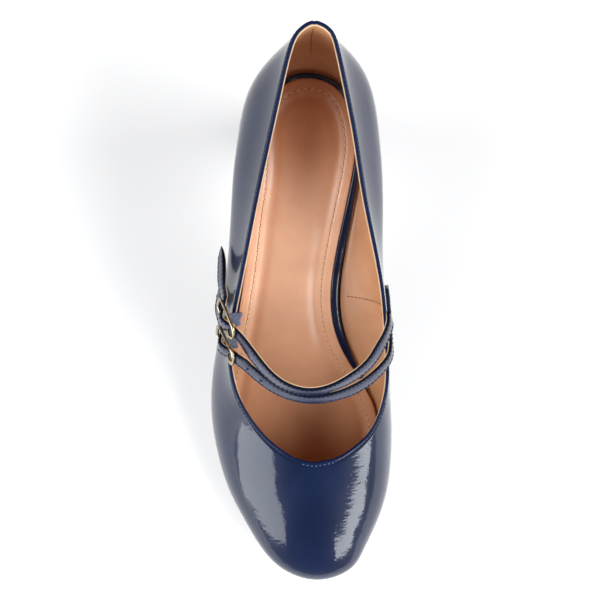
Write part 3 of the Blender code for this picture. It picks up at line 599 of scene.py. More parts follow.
def insole_inset(ribs):
    """How far the insole's edge lies inside the feather line."""
    return np.maximum(INSET(ribs) * INSOLE_INSET, FOOT_WALL + GAP)


def seat_back():
    """Station of the back of the heel's seat."""
    return float(FEATHER_STATION(0.0)) * LAST_LENGTH + HEEL_SEAT_INSET


def heel_outline(grown, hollow):
    """Half outline of the heel at a growth from tip to seat, from its back to its breast."""
    tip_back = HEEL_STATION - HEEL_TIP_LENGTH / 2
    back = tip_back + (seat_back() - tip_back) * grown
    length = HEEL_TIP_LENGTH + (HEEL_SEAT_LENGTH - HEEL_TIP_LENGTH) * grown
    seat_half = float(FEATHER_SIDE(HEEL_SEAT_RIB)) * BALL_WIDTH - HEEL_SEAT_INSET
    half = HEEL_TIP_WIDTH / 2 + (seat_half - HEEL_TIP_WIDTH / 2) * grown
    widest = back + HEEL_WIDEST * length
    breast = back + length
    corner = HEEL_CORNER * length
    outline = []
    for turn in np.linspace(0, math.pi / 2, 8):
        outline.append((half * math.sin(turn), widest - (widest - back) * math.cos(turn)))
    outline.append((half * HEEL_SIDE_TAPER, (widest + breast - corner) / 2))
    inside = half * HEEL_BREAST_TAPER - corner
    for turn in np.linspace(0, math.pi / 2, 4):
        outline.append((inside + corner * math.cos(turn), breast - corner + corner * math.sin(turn)))
    for share in (0.55, 0.0):
        outline.append((half * share, breast - hollow * BREAST_HOLLOW * (1 - share**2)))
    return outline


def route_place(row):
    """World point of a route's row."""
    station = row.station * LAST_LENGTH
    return place(row.side * BALL_WIDTH, station, bottom_height(station) + row.rise * INSTEP_HEIGHT)


def outer_side(vector):
    """The vector or its opposite, whichever points to the outer side."""
    return -vector if vector[0] > 0 else vector


class BuckleFrame:
    """Directions of a buckle: along from its hinge bar to its front bar, down its width, and out."""

    def __init__(self, bars):
        hinge, front = route_place(bars[0]), route_place(bars[1])
        self.centre = (hinge + front) / 2
        self.along = unit(front - hinge)
        tilt = math.radians((bars[0].tilt + bars[1].tilt) / 2)
        down = outer_side(unit(np.cross(UP, self.along))) * math.sin(tilt) - UP * math.cos(tilt)
        self.down = unit(down - self.along * np.dot(down, self.along))
        self.out = outer_side(unit(np.cross(self.along, self.down)))

    def at(self, along, down, out):
        """World point at distances from the buckle's centre."""
        return self.centre + self.along * along + self.down * down + self.out * out


BAR_OFFSET = BUCKLE_LENGTH / 2 - WIRE_RADIUS
FRAME_HALF = STRAP_WIDTH / 2 + STRAP_PLAY + WIRE_RADIUS
STRAP_UNDER = WIRE_RADIUS + STRAP_PLAY + STRAP_THICKNESS / 2
STRAP_OVER = BAR_RADIUS + STRAP_PLAY + STRAP_THICKNESS / 2


def strap_rows(root, route, buckle, tip):
    """Places and width directions of a strap's centre line, from its root to its tip."""
    rows = []
    for rib, below in root:
        point, normal, rising = wall_frame(rib, height_below_topline(rib, below))
        rows.append((point + normal * (GAP + STRAP_THICKNESS / 2), -rising))
    places = [route_place(row) for row in route]
    for i, row in enumerate(route):
        ahead = places[min(i + 1, len(route) - 1)] - places[max(i - 1, 0)]
        outward = unit(np.cross(ahead, UP))
        if outward[1] > ACROSS_LIMIT or (abs(outward[1]) <= ACROSS_LIMIT and outward[0] * row.side < 0):
            outward = -outward
        tilt = math.radians(row.tilt)
        rows.append((places[i], outward * math.sin(tilt) - UP * math.cos(tilt)))
    middle = (STRAP_OVER - STRAP_UNDER) / 2
    weave = ((1, -STRAP_UNDER), (0.5, middle), (0, STRAP_OVER), (-0.5, middle), (-1, -STRAP_UNDER))
    for along, out in weave:
        rows.append((buckle.at(along * BAR_OFFSET, 0, out), buckle.down))
    for row in tip:
        tilt = math.radians(row.tilt)
        rows.append((route_place(row), np.array([-math.sin(tilt), 0, -math.cos(tilt)])))
    return rows


def a_colour(label, words, value):
    """A colour to change in the sidebar."""
    return bpy.props.FloatVectorProperty(
        name=label, description=words, default=value, size=3, min=0.0, max=1.0, subtype="COLOR"
    )


def a_length(label, words, value):
    """A length to change in the sidebar."""
    return bpy.props.FloatProperty(
        name=label, description=words, default=value, min=0.0, precision=5, subtype="DISTANCE", unit="LENGTH"
    )


def a_share(label, words, value, highest=1.0):
    """A plain number to change in the sidebar."""
    return bpy.props.FloatProperty(
        name=label, description=words, default=value, min=0.0, max=highest, subtype="FACTOR"
    )


class PumpSizes(bpy.types.PropertyGroup):
    """Sizes of the leather, the sock and the buckles"""

    patent: a_length("Patent", "Thickness of the patent leather", 0.00125)
    lining_drop: a_length("Lining drop", "How far the lining's cut edge lies below the topline", 0.00035)
    fold: a_length("Fold", "How far the darker folded edge reaches below the topline", 0.0006)
    seam: a_length("Back seam", "Depth of the back seam's groove", 0.0003)
    dish: a_length("Sock dish", "How deep the sock sinks beside its stitches", 0.0012)
    wire: a_share("Wire", "Thickness of the buckle wire as a share of the model's", 0.76)


class PumpColours(bpy.types.PropertyGroup):
    """Colours of the leathers, the threads, the metal and the sole"""

    patent_dark: a_colour("Patent, dark", "Dark tone of the upper", (0.0030, 0.0074, 0.029))
    patent_light: a_colour("Patent, light", "Light tone of the upper", (0.0042, 0.0100, 0.038))
    strap_dark: a_colour("Strap, dark", "Dark tone of the straps", (0.0022, 0.0062, 0.026))
    strap_light: a_colour("Strap, light", "Light tone of the straps", (0.0050, 0.0140, 0.058))
    lining_dark: a_colour("Lining, dark", "Dark tone of the lining", (0.42, 0.205, 0.10))
    lining_light: a_colour("Lining, light", "Light tone of the lining", (0.49, 0.25, 0.13))
    edge_dark: a_colour("Cut edge, dark", "Dark tone of the lining's cut edge", (0.58, 0.39, 0.235))
    edge_light: a_colour("Cut edge, light", "Light tone of the lining's cut edge", (0.70, 0.50, 0.31))
    # The sock's two tans are painted shade and painted light: the deep tan darkens the heel and the toe, the
    # pale tan lights the waist
    sock_painted_shade: a_colour("Sock, deep", "Deep tan of the sock, at the heel and the toe", (0.46, 0.20, 0.09))
    sock_painted_light: a_colour("Sock, pale", "Pale tan of the sock, at the waist", (0.93, 0.565, 0.37))
    navy_thread: a_colour("Navy thread", "Thread of the upper and the straps", (0.005, 0.010, 0.030))
    pale_thread: a_colour("Pale navy thread", "Thread across the throat", (0.09, 0.15, 0.29))
    brown_thread: a_colour("Brown thread", "Thread of the lining", (0.16, 0.07, 0.035))
    tan_thread: a_colour("Tan thread", "Thread of the sock", (0.84, 0.62, 0.39))
    metal_dark: a_colour("Metal, dark", "Dark tone of the buckles", (0.30, 0.25, 0.16))
    metal_light: a_colour("Metal, light", "Light tone of the buckles", (0.44, 0.37, 0.25))
    sole: a_colour("Sole", "Sole leather", (0.032, 0.026, 0.024))
    lift: a_colour("Top lift", "Rubber under the heel", (0.015, 0.015, 0.016))


class PumpStage(bpy.types.PropertyGroup):
    """The floor, the surroundings and the camera"""

    lens: bpy.props.FloatProperty(name="Lens", description="Focal length", default=65.45, unit="CAMERA")
    sky: a_share("Sky", "Strength of the pale surroundings", 1.0, 5.0)
    glow: a_share("Floor glow", "Strength of the floor's own light", 0.25)


def the_sizes():
    """The sizes set in the sidebar."""
    return bpy.context.scene.pump_sizes


def the_colours():
    """The colours set in the sidebar."""
    return bpy.context.scene.pump_colours


def new_material(name, settings):
    """A node material with its tree and its shader, whose sockets get the settings."""
    material = bpy.data.materials.new(name)
    material.use_nodes = True
    tree = material.node_tree
    shader = tree.nodes["Principled BSDF"]
    for socket, value in settings.items():
        shader.inputs[socket].default_value = value
    return material, tree, shader


def made_once(build):
    """Lets a material function reuse the material that already has the name."""

    def reuse(name, *values):
        return bpy.data.materials.get(name) or build(name, *values)

    return reuse


def add_node(tree, kind, settings, **sources):
    """A node with values on its own sockets and links from its sources."""
    node = tree.nodes.new("ShaderNode" + kind)
    for socket, value in settings.items():
        node.inputs[socket].default_value = value
    for socket, source in sources.items():
        tree.links.new(source, node.inputs[socket])
    return node


def texture_place(tree, scale=(1.0, 1.0, 1.0)):
    """Object coordinates, stretched along each axis."""
    spot = add_node(tree, "TexCoord", {}).outputs["Object"]
    return add_node(tree, "Mapping", {"Scale": scale}, Vector=spot).outputs["Vector"]


def noise(tree, vector, scale, detail=3.0, roughness=0.5):
    """A noise pattern."""
    settings = {"Scale": scale, "Detail": detail, "Roughness": roughness}
    return add_node(tree, "TexNoise", settings, Vector=vector).outputs["Fac"]


def cells(tree, vector, scale):
    """Distances from the middles of small cells."""
    return add_node(tree, "TexVoronoi", {"Scale": scale}, Vector=vector).outputs["Distance"]


def bump(tree, height, strength, distance, after=None):
    """A bump from a height pattern, on top of another one."""
    sources = {"Height": height} if after is None else {"Height": height, "Normal": after}
    return add_node(tree, "Bump", {"Strength": strength, "Distance": distance}, **sources).outputs["Normal"]


def ramp(tree, factor, stops):
    """Colours along a pattern: stops are (place, colour) pairs."""
    node = add_node(tree, "ValToRGB", {}, Fac=factor)
    elements = node.color_ramp.elements
    for i, (position, tone) in ((0, stops[0]), (1, stops[-1])):
        elements[i].position, elements[i].color = position, (*tone, 1.0)
    for position, tone in stops[1:-1]:
        elements.new(position).color = (*tone, 1.0)
    return node.outputs["Color"]


# A patent finish: its mottle, waves and streaks as a noise's scale, detail and roughness, the depths of
# the waves and streaks as strengths, and how the streaks are stretched
Patent = namedtuple("Patent", "mottle waves wave_depth streaks streak_depth stretch")
UPPER_PATENT = Patent((60.0, 3.0, 0.5), (90.0, 2.0, 0.5), 0.22, (420.0, 3.0, 0.6), 0.32, (0.45, 1.0, 0.7))
STRAP_PATENT = Patent((500.0, 4.0, 0.7), (260.0, 2.0, 0.5), 0.3, (1500.0, 3.0, 0.75), 0.4, (1.0, 1.0, 1.0))
WAVE_HEIGHT = 0.0006
STREAK_HEIGHT = 0.0003


@made_once
def patent_material(name, finish, tones, settings):
    """Patent leather: a dyed layer under a hard clear coat with waves and fine streaks."""
    material, tree, shader = new_material(name, settings)
    spot = texture_place(tree)
    tree.links.new(ramp(tree, noise(tree, spot, *finish.mottle), tones), shader.inputs["Base Color"])
    waves = bump(tree, noise(tree, spot, *finish.waves), finish.wave_depth, WAVE_HEIGHT)
    streaks = noise(tree, texture_place(tree, finish.stretch), *finish.streaks)
    fine = bump(tree, streaks, finish.streak_depth, STREAK_HEIGHT, waves)
    tree.links.new(fine, shader.inputs["Coat Normal"])
    tree.links.new(waves, shader.inputs["Normal"])
    return material


def upper_patent():
    """Navy patent, nearly smooth."""
    gloss = {"Roughness": 0.32, "Specular IOR Level": 0.12}
    coat = {"Coat Weight": 1.0, "Coat Roughness": 0.035, "Coat IOR": 1.36}
    tones = [(0.3, the_colours().patent_dark), (0.7, the_colours().patent_light)]
    return patent_material("Navy patent", UPPER_PATENT, tones, {**gloss, **coat})


def strap_patent():
    """Navy patent, crackled where it has been bent."""
    gloss = {"Roughness": 0.35, "Specular IOR Level": 0.15}
    coat = {"Coat Weight": 0.9, "Coat Roughness": 0.03, "Coat IOR": 1.36}
    tones = [(0.35, the_colours().strap_dark), (0.7, the_colours().strap_light)]
    return patent_material("Navy strap patent", STRAP_PATENT, tones, {**gloss, **coat})


def paint_light_and_shade(tree, spot, under):
    """The sock's painted light and shade from heel to toe, laid over another colour."""
    split = add_node(tree, "SeparateXYZ", {}, Vector=spot)
    first, last = SOCK_LIGHT_AND_SHADE[0][0], SOCK_LIGHT_AND_SHADE[-1][0]
    along = add_node(tree, "MapRange", {"From Min": first, "From Max": last}, Value=split.outputs["Y"])
    stops = []
    for at, pale in SOCK_LIGHT_AND_SHADE:
        tone = [a + (b - a) * pale for a, b in zip(the_colours().sock_painted_shade, the_colours().sock_painted_light)]
        stops.append(((at - first) / (last - first), tone))
    mix = tree.nodes.new("ShaderNodeMix")
    mix.data_type, mix.blend_type = "RGBA", "MULTIPLY"
    mix.inputs["Factor"].default_value = 1.0
    tree.links.new(under, mix.inputs[6])
    tree.links.new(ramp(tree, along.outputs["Result"], stops), mix.inputs[7])
    return mix.outputs[2]


@made_once
def leather_material(name, dark, light, roughness, pores=0.25, with_painted_lighting=False):
    """Smooth lining or sock leather with a faint mottle and small pores; the sock also gets painted light and
    shade along its length.
    """
    material, tree, shader = new_material(name, {"Roughness": roughness, "Specular IOR Level": 0.7})
    spot = texture_place(tree)
    mottle = noise(tree, spot, scale=75.0, detail=4.0, roughness=0.6)
    tint = ramp(tree, mottle, [(0.3, dark), (0.7, light)])
    if with_painted_lighting:
        tint = paint_light_and_shade(tree, spot, tint)
    tree.links.new(tint, shader.inputs["Base Color"])
    creases = bump(tree, noise(tree, spot, scale=160.0), strength=0.25, distance=0.0003)
    grain = bump(tree, cells(tree, spot, scale=1900.0), pores, distance=0.00006, after=creases)
    tree.links.new(grain, shader.inputs["Normal"])
    return material


def cut_edge():
    """The cream cut edge of the lining and the straps' inner face."""
    return leather_material("Cream lining edge", the_colours().edge_dark, the_colours().edge_light, 0.6)


@made_once
def thread_material(name, tint):
    """Twisted sewing thread."""
    material, tree, shader = new_material(name, {"Roughness": 0.7, "Specular IOR Level": 0.1})
    twist = noise(tree, texture_place(tree), scale=5200.0, detail=1.0)
    dark = [part * 0.6 for part in tint]
    tree.links.new(ramp(tree, twist, [(0.35, dark), (0.65, tint)]), shader.inputs["Base Color"])
    return material


@made_once
def metal_material(name):
    """Pale gold plate, polished."""
    material, tree, shader = new_material(name, {"Metallic": 1.0, "Roughness": 0.2})
    spot = texture_place(tree)
    tones = [(0.3, the_colours().metal_dark), (0.7, the_colours().metal_light)]
    tint = ramp(tree, noise(tree, spot, scale=300.0, detail=2.0), tones)
    tree.links.new(tint, shader.inputs["Base Color"])
    polish = bump(tree, noise(tree, spot, scale=900.0, detail=2.0), strength=0.03, distance=0.00005)
    tree.links.new(polish, shader.inputs["Normal"])
    return material


@made_once
def elastic_material(name):
    """Ribbed navy elastic web."""
    material, tree, shader = new_material(name, {"Roughness": 0.75, "Sheen Weight": 0.3})
    weave = cells(tree, texture_place(tree), scale=2300.0)
    tones = [(0.05, (0.20, 0.25, 0.34)), (0.55, (0.03, 0.05, 0.10))]
    tree.links.new(ramp(tree, weave, tones), shader.inputs["Base Color"])
    tree.links.new(bump(tree, weave, strength=0.7, distance=0.00015), shader.inputs["Normal"])
    return material


@made_once
def matt_material(name, tint, roughness, shine=0.5):
    """Rubber, edge paint, plain sole leather or the painted shade of holes and seams, with a fine grain."""
    material, tree, shader = new_material(name, {"Roughness": roughness, "Specular IOR Level": shine})
    speck = noise(tree, texture_place(tree), scale=700.0, detail=4.0, roughness=0.7)
    light = [min(1.0, part * 1.6) for part in tint]
    tree.links.new(ramp(tree, speck, [(0.35, tint), (0.75, light)]), shader.inputs["Base Color"])
    tree.links.new(bump(tree, speck, strength=0.35, distance=0.0001), shader.inputs["Normal"])
    return material


# Matt finishes: name, colour, roughness and shine
# The needle holes' colours are painted shade, dark where a hole's shade would fall
NEEDLE_HOLE_SHADE = ("Needle hole", (0.004, 0.006, 0.014), 0.8, 0.05)
SOCK_NEEDLE_HOLE_SHADE = ("Sock needle hole", (0.10, 0.045, 0.022), 0.8, 0.05)
FOLD_PAINT = ("Navy fold", (0.0032, 0.0075, 0.030), 0.35, 0.06)
EDGE_PAINT = ("Navy edge paint", (0.0020, 0.004, 0.013), 0.4, 0.12)
SEAM_SHADOW = ("Seam shadow", (0.12, 0.045, 0.018), 0.8)


def make_piece(name, points, faces, materials, rows=None):
    """A mesh piece that rides on the shoe; rows gives each face's material number."""
    name = name.lower().replace(" ", "_")
    mesh = bpy.data.meshes.new(name)
    points = np.asarray(points, dtype=np.float32).reshape(-1, 3)
    faces = np.asarray(faces, dtype=np.int32)
    corners = faces.shape[1]
    mesh.vertices.add(len(points))
    mesh.vertices.foreach_set("co", points.ravel())
    mesh.loops.add(faces.size)
    mesh.loops.foreach_set("vertex_index", faces.ravel())
    mesh.polygons.add(len(faces))
    mesh.polygons.foreach_set("loop_start", np.arange(0, faces.size, corners, dtype=np.int32))
    mesh.polygons.foreach_set("loop_total", np.full(len(faces), corners, dtype=np.int32))
    for material in materials:
        mesh.materials.append(material)
    if rows is not None:
        mesh.polygons.foreach_set("material_index", np.asarray(rows, dtype=np.int32))
    mesh.update(calc_edges=True)
    mesh.validate()
    mesh.shade_smooth()
    thing = bpy.data.objects.new(name, mesh)
    bpy.context.scene.collection.objects.link(thing)
    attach(thing, "root")
    return thing


def close_ends(thing, rings, corners):
    """Caps the first and the last ring of a piece."""
    mesh = bmesh.new()
    mesh.from_mesh(thing.data)
    mesh.verts.ensure_lookup_table()
    for ring in (0, rings - 1):
        mesh.faces.new([mesh.verts[ring * corners + k] for k in range(corners)])
    bmesh.ops.recalc_face_normals(mesh, faces=mesh.faces)
    mesh.to_mesh(thing.data)
    mesh.free()
    thing.data.shade_smooth()


def grid_faces(count, rows, round_columns=False, round_rows=False):
    """Quads of a grid of columns by rows, numbered column after column."""
    i = np.arange(count if round_columns else count - 1)
    k = np.arange(rows if round_rows else rows - 1)
    i, k = np.meshgrid(i, k, indexing="ij")
    j, m = (i + 1) % count, (k + 1) % rows
    return np.stack([i * rows + k, j * rows + k, j * rows + m, i * rows + m], axis=-1).reshape(-1, 4)


def repeated(faces, count, size):
    """Faces of one small shape, repeated for each of its copies."""
    return (faces[None] + (np.arange(count) * size)[:, None, None]).reshape(-1, faces.shape[1])


def even_path(points, ups, pitch):
    """Points and up directions along a path at an even pitch."""
    along = path_knots(points)
    count = max(2, int(along[-1] / pitch))
    at = (np.arange(count) + 0.5) * along[-1] / count
    return [
        np.stack([np.interp(at, along, values[:, k]) for k in range(3)], axis=-1) for values in (points, ups)
    ]


def make_stitches(name, path, ups, stitch, thread, lift, hole=NEEDLE_HOLE_SHADE):
    """A row of thread stitches on a surface along a path, lifted by a share of the thread's radius."""
    centre, up = even_path(path, ups, stitch.pitch)
    tangent = unit(np.gradient(centre, axis=0))
    side = unit(np.cross(tangent, unit(up)))
    up = np.cross(side, tangent)
    turns = np.arange(STITCH_SIDES) * 2 * math.pi / STITCH_SIDES
    points = []
    for along, size, sink in STITCH_RINGS:
        for turn in turns:
            rise = up * (stitch.radius * (size * math.sin(turn) + sink + lift))
            across = side * (stitch.radius * size * math.cos(turn))
            points.append(centre + tangent * (along * stitch.length / 2) + across + rise)
    points = np.stack(points, axis=1)
    one = grid_faces(len(STITCH_RINGS), STITCH_SIDES, round_rows=True)
    faces = repeated(one, len(centre), points.shape[1])
    make_piece(name, points, faces, [thread_material(*thread)])
    if hole:
        where = centre + tangent * (stitch.pitch / 2)
        make_holes(name + " holes", where, tangent, side, up, stitch.radius, hole)


def make_holes(name, where, tangent, side, up, radius, hole):
    """The needle holes between stitches, as small dark discs of painted shade."""
    turns = np.arange(HOLE_SIDES) * 2 * math.pi / HOLE_SIDES
    size = radius * HOLE_SIZE
    columns = [where + up * radius * HOLE_MIDDLE]
    for turn in turns:
        offset = (side * math.cos(turn) + tangent * math.sin(turn)) * size
        columns.append(where + offset + up * radius * HOLE_RIM)
    points = np.stack(columns, axis=1)
    one = np.array([(0, 1 + k, 1 + (k + 1) % HOLE_SIDES) for k in range(HOLE_SIDES)])
    faces = repeated(one, len(where), points.shape[1])
    make_piece(name, points, faces, [matt_material(*hole)])


def make_patent_shell():
    """The patent outer of the upper, lasted under at the feather line and folded over at the topline."""
    even = np.linspace(0, 1, SHELL_LEVELS)
    shares = (1 - SHELL_CROWDING) * even + SHELL_CROWDING * (1 - (1 - even) ** 2.4)
    outside, normal, rising = wall_grid(SHELL_RIBS, shares)
    below = below_last(outside)
    groove = np.exp(-(((below - TOPLINE_STITCH.edge) / STITCH_GROOVE_HALF) ** 2)) * STITCH_GROOVE_DEPTH
    outside = outside - normal * groove[..., None]
    from_back = np.linalg.norm(outside - outside[:1], axis=-1)
    seam = np.exp(-((from_back / BACK_SEAM_HALF) ** 2)) * the_sizes().seam
    outside = outside - normal * seam[..., None]
    foot, under = outside[:, 0], level(normal[:, 0])
    columns = [foot - under * turned for turned in LASTED_UNDER]
    columns.extend(outside[:, k] for k in range(SHELL_LEVELS))
    top, out, up = outside[:, -1], normal[:, -1], rising[:, -1]
    half = the_sizes().patent / 2
    for turn in np.linspace(0, math.pi, FOLD_STEPS)[1:]:
        folded_in = out * half * math.cos(turn) + up * half * FOLD_ROUND * math.sin(turn)
        columns.append(top - out * half + folded_in)
    for k in FOLD_LEVELS:
        columns.append(outside[:, -1 - k] - normal[:, -1 - k] * the_sizes().patent)
    points = np.stack(columns, axis=1)
    faces = grid_faces(SHELL_RIBS, points.shape[1], round_columns=True)
    folded = np.ones(points.shape[1] - 1, dtype=int)
    folded[: len(LASTED_UNDER) + int(np.sum(below.mean(axis=0) > the_sizes().fold))] = 0
    materials = [upper_patent(), matt_material(*FOLD_PAINT)]
    rows = np.tile(folded, SHELL_RIBS)
    shell = make_piece("Patent upper", points, faces, materials, rows)
    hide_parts("upper")


def make_lining():
    """The lining: a cut cream edge just under the topline, then the leather down to the insole."""
    outside, normal, rising = wall_grid(LINING_RIBS, np.linspace(1, 0, LINING_LEVELS))
    top, out, up = outside[:, 0], normal[:, 0], rising[:, 0]
    patent, drop = the_sizes().patent, the_sizes().lining_drop
    columns = [top - out * patent * 0.9 - up * (drop + EDGE_DEPTH), top - out * patent * 0.98 - up * drop]
    for turn in np.linspace(0, math.pi / 2, 4):
        inward = UPPER_WALL - EDGE_BEVEL + EDGE_BEVEL * math.sin(turn)
        columns.append(top - out * inward - up * (drop + EDGE_BEVEL * (1 - math.cos(turn))))
    edge_rows = len(columns)
    columns.append(top - out * UPPER_WALL - up * (drop + EDGE_HEIGHT))
    columns.extend(outside[:, k] - normal[:, k] * UPPER_WALL for k in range(2, LINING_LEVELS))
    columns.append(columns[-1] - level(normal[:, -1]) * LINING_TURN)
    points = np.stack(columns, axis=1)
    rows = points.shape[1]
    faces = grid_faces(LINING_RIBS, rows, round_columns=True)
    kind = np.tile((np.arange(rows - 1) >= edge_rows).astype(int), LINING_RIBS)
    tan = leather_material("Tan lining", the_colours().lining_dark, the_colours().lining_light, 0.45)
    make_piece("Upper lining", points, faces, [cut_edge(), tan], kind)


def make_topline_stitches():
    """The row of stitches that holds the folded edge, paler across the throat."""
    navy = ("Navy thread", the_colours().navy_thread)
    pale = ("Pale navy thread", the_colours().pale_thread)
    parts = (
        ("Topline stitches back", -9.8, 9.8, navy, 0.3),
        ("Throat stitches inner", 9.9, 13.4, navy, 0.9),
        ("Throat stitches middle", 13.5, 18.0, pale, 0.2),
        ("Throat stitches outer", 18.1, 22.1, navy, 0.9),
    )
    for name, start, end, thread, lift in parts:
        ribs = np.linspace(start, end, 500)
        heights = height_below_topline(ribs, TOPLINE_STITCH.edge, 0.55, 40)
        point, normal, _ = wall_frame(ribs, heights)
        path = point - normal * STITCH_SINK
        make_stitches(name, path, normal, TOPLINE_STITCH, thread, lift)


def inner_path(ribs, heights):
    """Points on the lining's face with the direction into the shoe."""
    point, normal, _ = wall_frame(ribs, heights)
    return point - normal * (UPPER_WALL + LINING_CLEAR), -normal


def make_lining_seams():
    """The lining's stitched seam on the inner side and its plain seam at the back."""
    part = np.linspace(0, 1, 90)
    path, ups = inner_path(6.85 + 0.6 * part, 0.02 + 0.94 * part)
    thread = ("Brown thread", the_colours().brown_thread)
    make_stitches("Lining seam stitches", path, ups, LINING_STITCH, thread, 0.5, None)
    # The back seam is drawn as a thin raised strip of painted shadow
    path, ups = inner_path(-0.05 + 0.12 * part, 0.93 - 0.72 * part)
    side = np.cross(unit(np.gradient(path, axis=0)), ups) * LINING_SEAM_HALF
    points = np.stack([path - side, path + ups * LINING_SEAM_RISE, path + side], axis=1)
    faces = grid_faces(len(path), 3)
    make_piece("Back lining seam", points, faces, [matt_material(*SEAM_SHADOW)])


def sock_top(side, station, inner, outer):
    """Height of the sock's top, hollowed across."""
    middle, half = (inner + outer) / 2, np.maximum((inner - outer) / 2, 1e-6)
    across = np.clip((side - middle) / half, -1, 1)
    return bottom_height(station) + INSOLE_THICKNESS * (1 - SOCK_HOLLOW * (1 - across**2))


def distance_from(edge, points):
    """How far points of the plan lie from the nearest point of an edge, in batches."""
    away = np.empty(len(points))
    batch = 2000
    for first in range(0, len(points), batch):
        gap = points[first : first + batch, None] - edge[None]
        away[first : first + batch] = np.sqrt(np.min(np.sum(gap**2, axis=2), axis=1))
    return away


def make_sock():
    """The tan insole sock: dished, with a rolled edge and a sunk line under its stitches."""
    outline = offset_outline(insole_inset)
    start, end = outline[0].min() + SOCK_MARGIN, outline[0].max() - SOCK_MARGIN
    even = np.linspace(0, 1, SOCK_STATIONS)
    stations = start + (end - start) * (0.6 * (1 - np.cos(math.pi * even)) / 2 + 0.4 * even)
    inner, outer = sides_at(outline, stations)
    lanes = np.linspace(-1, 1, SOCK_LANES)
    lanes = np.sign(lanes) * (1 - (1 - np.abs(lanes)) ** SOCK_LANE_CROWDING)
    side = ((inner + outer) / 2)[:, None] + ((inner - outer) / 2)[:, None] * lanes[None]
    station = np.broadcast_to(stations[:, None], side.shape)
    edge = np.concatenate([np.stack([outline[1], outline[0]], 1), np.stack([outline[3], outline[2]], 1)])
    away = distance_from(edge, np.stack([side.ravel(), station.ravel()], 1)).reshape(side.shape)
    height = sock_top(side, station, inner[:, None], outer[:, None])
    rolled = np.clip(1 - (1 - np.clip(away / SOCK_ROLL, 0, 1)) ** 2, 0, 1)
    height = height - SOCK_ROLL_DEPTH * (1 - np.sqrt(rolled))
    height = height - SOCK_GROOVE_DEPTH * np.exp(-(((away - SOCK_STITCH.edge) / SOCK_GROOVE_HALF) ** 2))
    height = height - the_sizes().dish * np.exp(-(((away - SOCK_DISH_AT) / SOCK_DISH_HALF) ** 2))
    top = place(side, station, height)
    skirt_outer = [top[:, 0] - UP * INSOLE_THICKNESS * depth for depth in SOCK_SKIRT[::-1]]
    skirt_inner = [top[:, -1] - UP * INSOLE_THICKNESS * depth for depth in SOCK_SKIRT]
    points = np.concatenate([np.stack(skirt_outer, 1), top, np.stack(skirt_inner, 1)], axis=1)
    faces = grid_faces(len(stations), points.shape[1])
    # The sock's colour carries painted light and shade from the heel to the toe
    tan = leather_material("Tan sock", (0.88, 0.87, 0.86), (0.98, 0.98, 0.98), 0.36, 0.18, True)
    sock = make_piece("Insole sock", points, faces[:, ::-1], [tan])
    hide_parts("insole")
    ribs = np.linspace(-SOCK_STITCH_ENDS, SOCK_STITCH_ENDS, 400)
    side, station = inside_feather(ribs, insole_inset(ribs) + SOCK_STITCH.edge)
    dish = the_sizes().dish * math.exp(-(((SOCK_DISH_AT - SOCK_STITCH.edge) / SOCK_DISH_HALF) ** 2))
    height = sock_top(side, station, *sides_at(outline, station)) - SOCK_GROOVE_DEPTH - dish
    path = place(side, station, height)
    ups = np.tile(UP, (len(path), 1))
    thread = ("Tan thread", the_colours().tan_thread)
    make_stitches("Sock stitches", path, ups, SOCK_STITCH, thread, 0.75, SOCK_NEEDLE_HOLE_SHADE)


def make_rim():
    """The patent band between the sock and the upper, round the heel and along the waist."""
    ribs = np.linspace(-RIM_ENDS, RIM_ENDS, 260)
    inner_edge = insole_inset(ribs) - GAP / 2
    width = np.minimum(RIM_WIDTH, inner_edge - FOOT_WALL - GAP / 2)
    shape = [(0.0, RIM_FOOT)]
    for turn in np.linspace(0, math.pi, 17):
        rounding = (1 - RIM_SHOULDER) * math.sin(turn) ** 0.6
        shape.append((0.5 - 0.5 * math.cos(turn), RIM_SHOULDER + rounding))
    shape.append((1.0, RIM_FOOT))
    columns = []
    for out, up in shape:
        side, station = inside_feather(ribs, inner_edge - out * width)
        columns.append(place(side, station, bottom_height(station) + up * INSOLE_THICKNESS * RIM_HEIGHT))
    points = np.stack(columns, axis=1)
    faces = grid_faces(len(ribs), len(shape))
    rim = make_piece("Insole rim band", points, faces, [upper_patent()])
    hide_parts("insole_rim")


def ribbon_frame(rows, steps):
    """Centre line, width and normal directions of a band, with the distance left to its tip."""
    places, widths = (np.array([row[k] for row in rows]) for k in (0, 1))
    knots = path_knots(places)
    at = np.linspace(0, knots[-1], steps)
    centre = open_spline(knots, places)(at)
    tangent = unit(np.gradient(centre, axis=0))
    across = open_spline(knots, widths)(at)
    across = unit(across - tangent * np.sum(across * tangent, axis=1, keepdims=True))
    return centre, across, np.cross(tangent, across), knots[-1] - at


def band_narrowing(left, width):
    """How much narrower a band is near its rounded tip."""
    near = np.clip(1 - left / (width * TIP_LENGTH), 0, 1)
    return np.maximum(0.05, np.clip(1 - near**2, 0, 1) ** 0.85)


def both_sides(half_profile):
    """A band's profile from its half: pairs of width share and height above the middle in metres."""
    return half_profile + [(-wide, rise) for wide, rise in reversed(half_profile)]


def make_band(name, centre, across, out, narrow, profile, materials, slot):
    """A band with a closed profile, its side edges in the last of its materials."""
    columns = []
    for wide, rise in profile:
        half = STRAP_WIDTH / 2 * narrow[:, None]
        columns.append(centre + across * half * wide + out * rise * narrow[:, None] ** 0.7)
    points = np.stack(columns, axis=1)
    faces = grid_faces(len(centre), len(profile), round_rows=True)
    wide = np.abs([pair[0] for pair in profile])
    edge = (np.minimum(wide, np.roll(wide, -1)) > PAINTED_FROM).astype(int) * (len(materials) - 1)
    band = make_piece(name, points, faces, materials, np.tile(edge, len(centre) - 1))
    close_ends(band, len(centre), len(profile))
    return band


STRAP_SETS = (
    ("rear", STRAP_REAR_ROOT, STRAP_REAR_ROUTE, BUCKLE_REAR_BARS, TIP_REAR, ELASTIC_REAR_AT),
    ("front", STRAP_FRONT_ROOT, STRAP_FRONT_ROUTE, BUCKLE_FRONT_BARS, TIP_FRONT, ELASTIC_FRONT_AT),
)


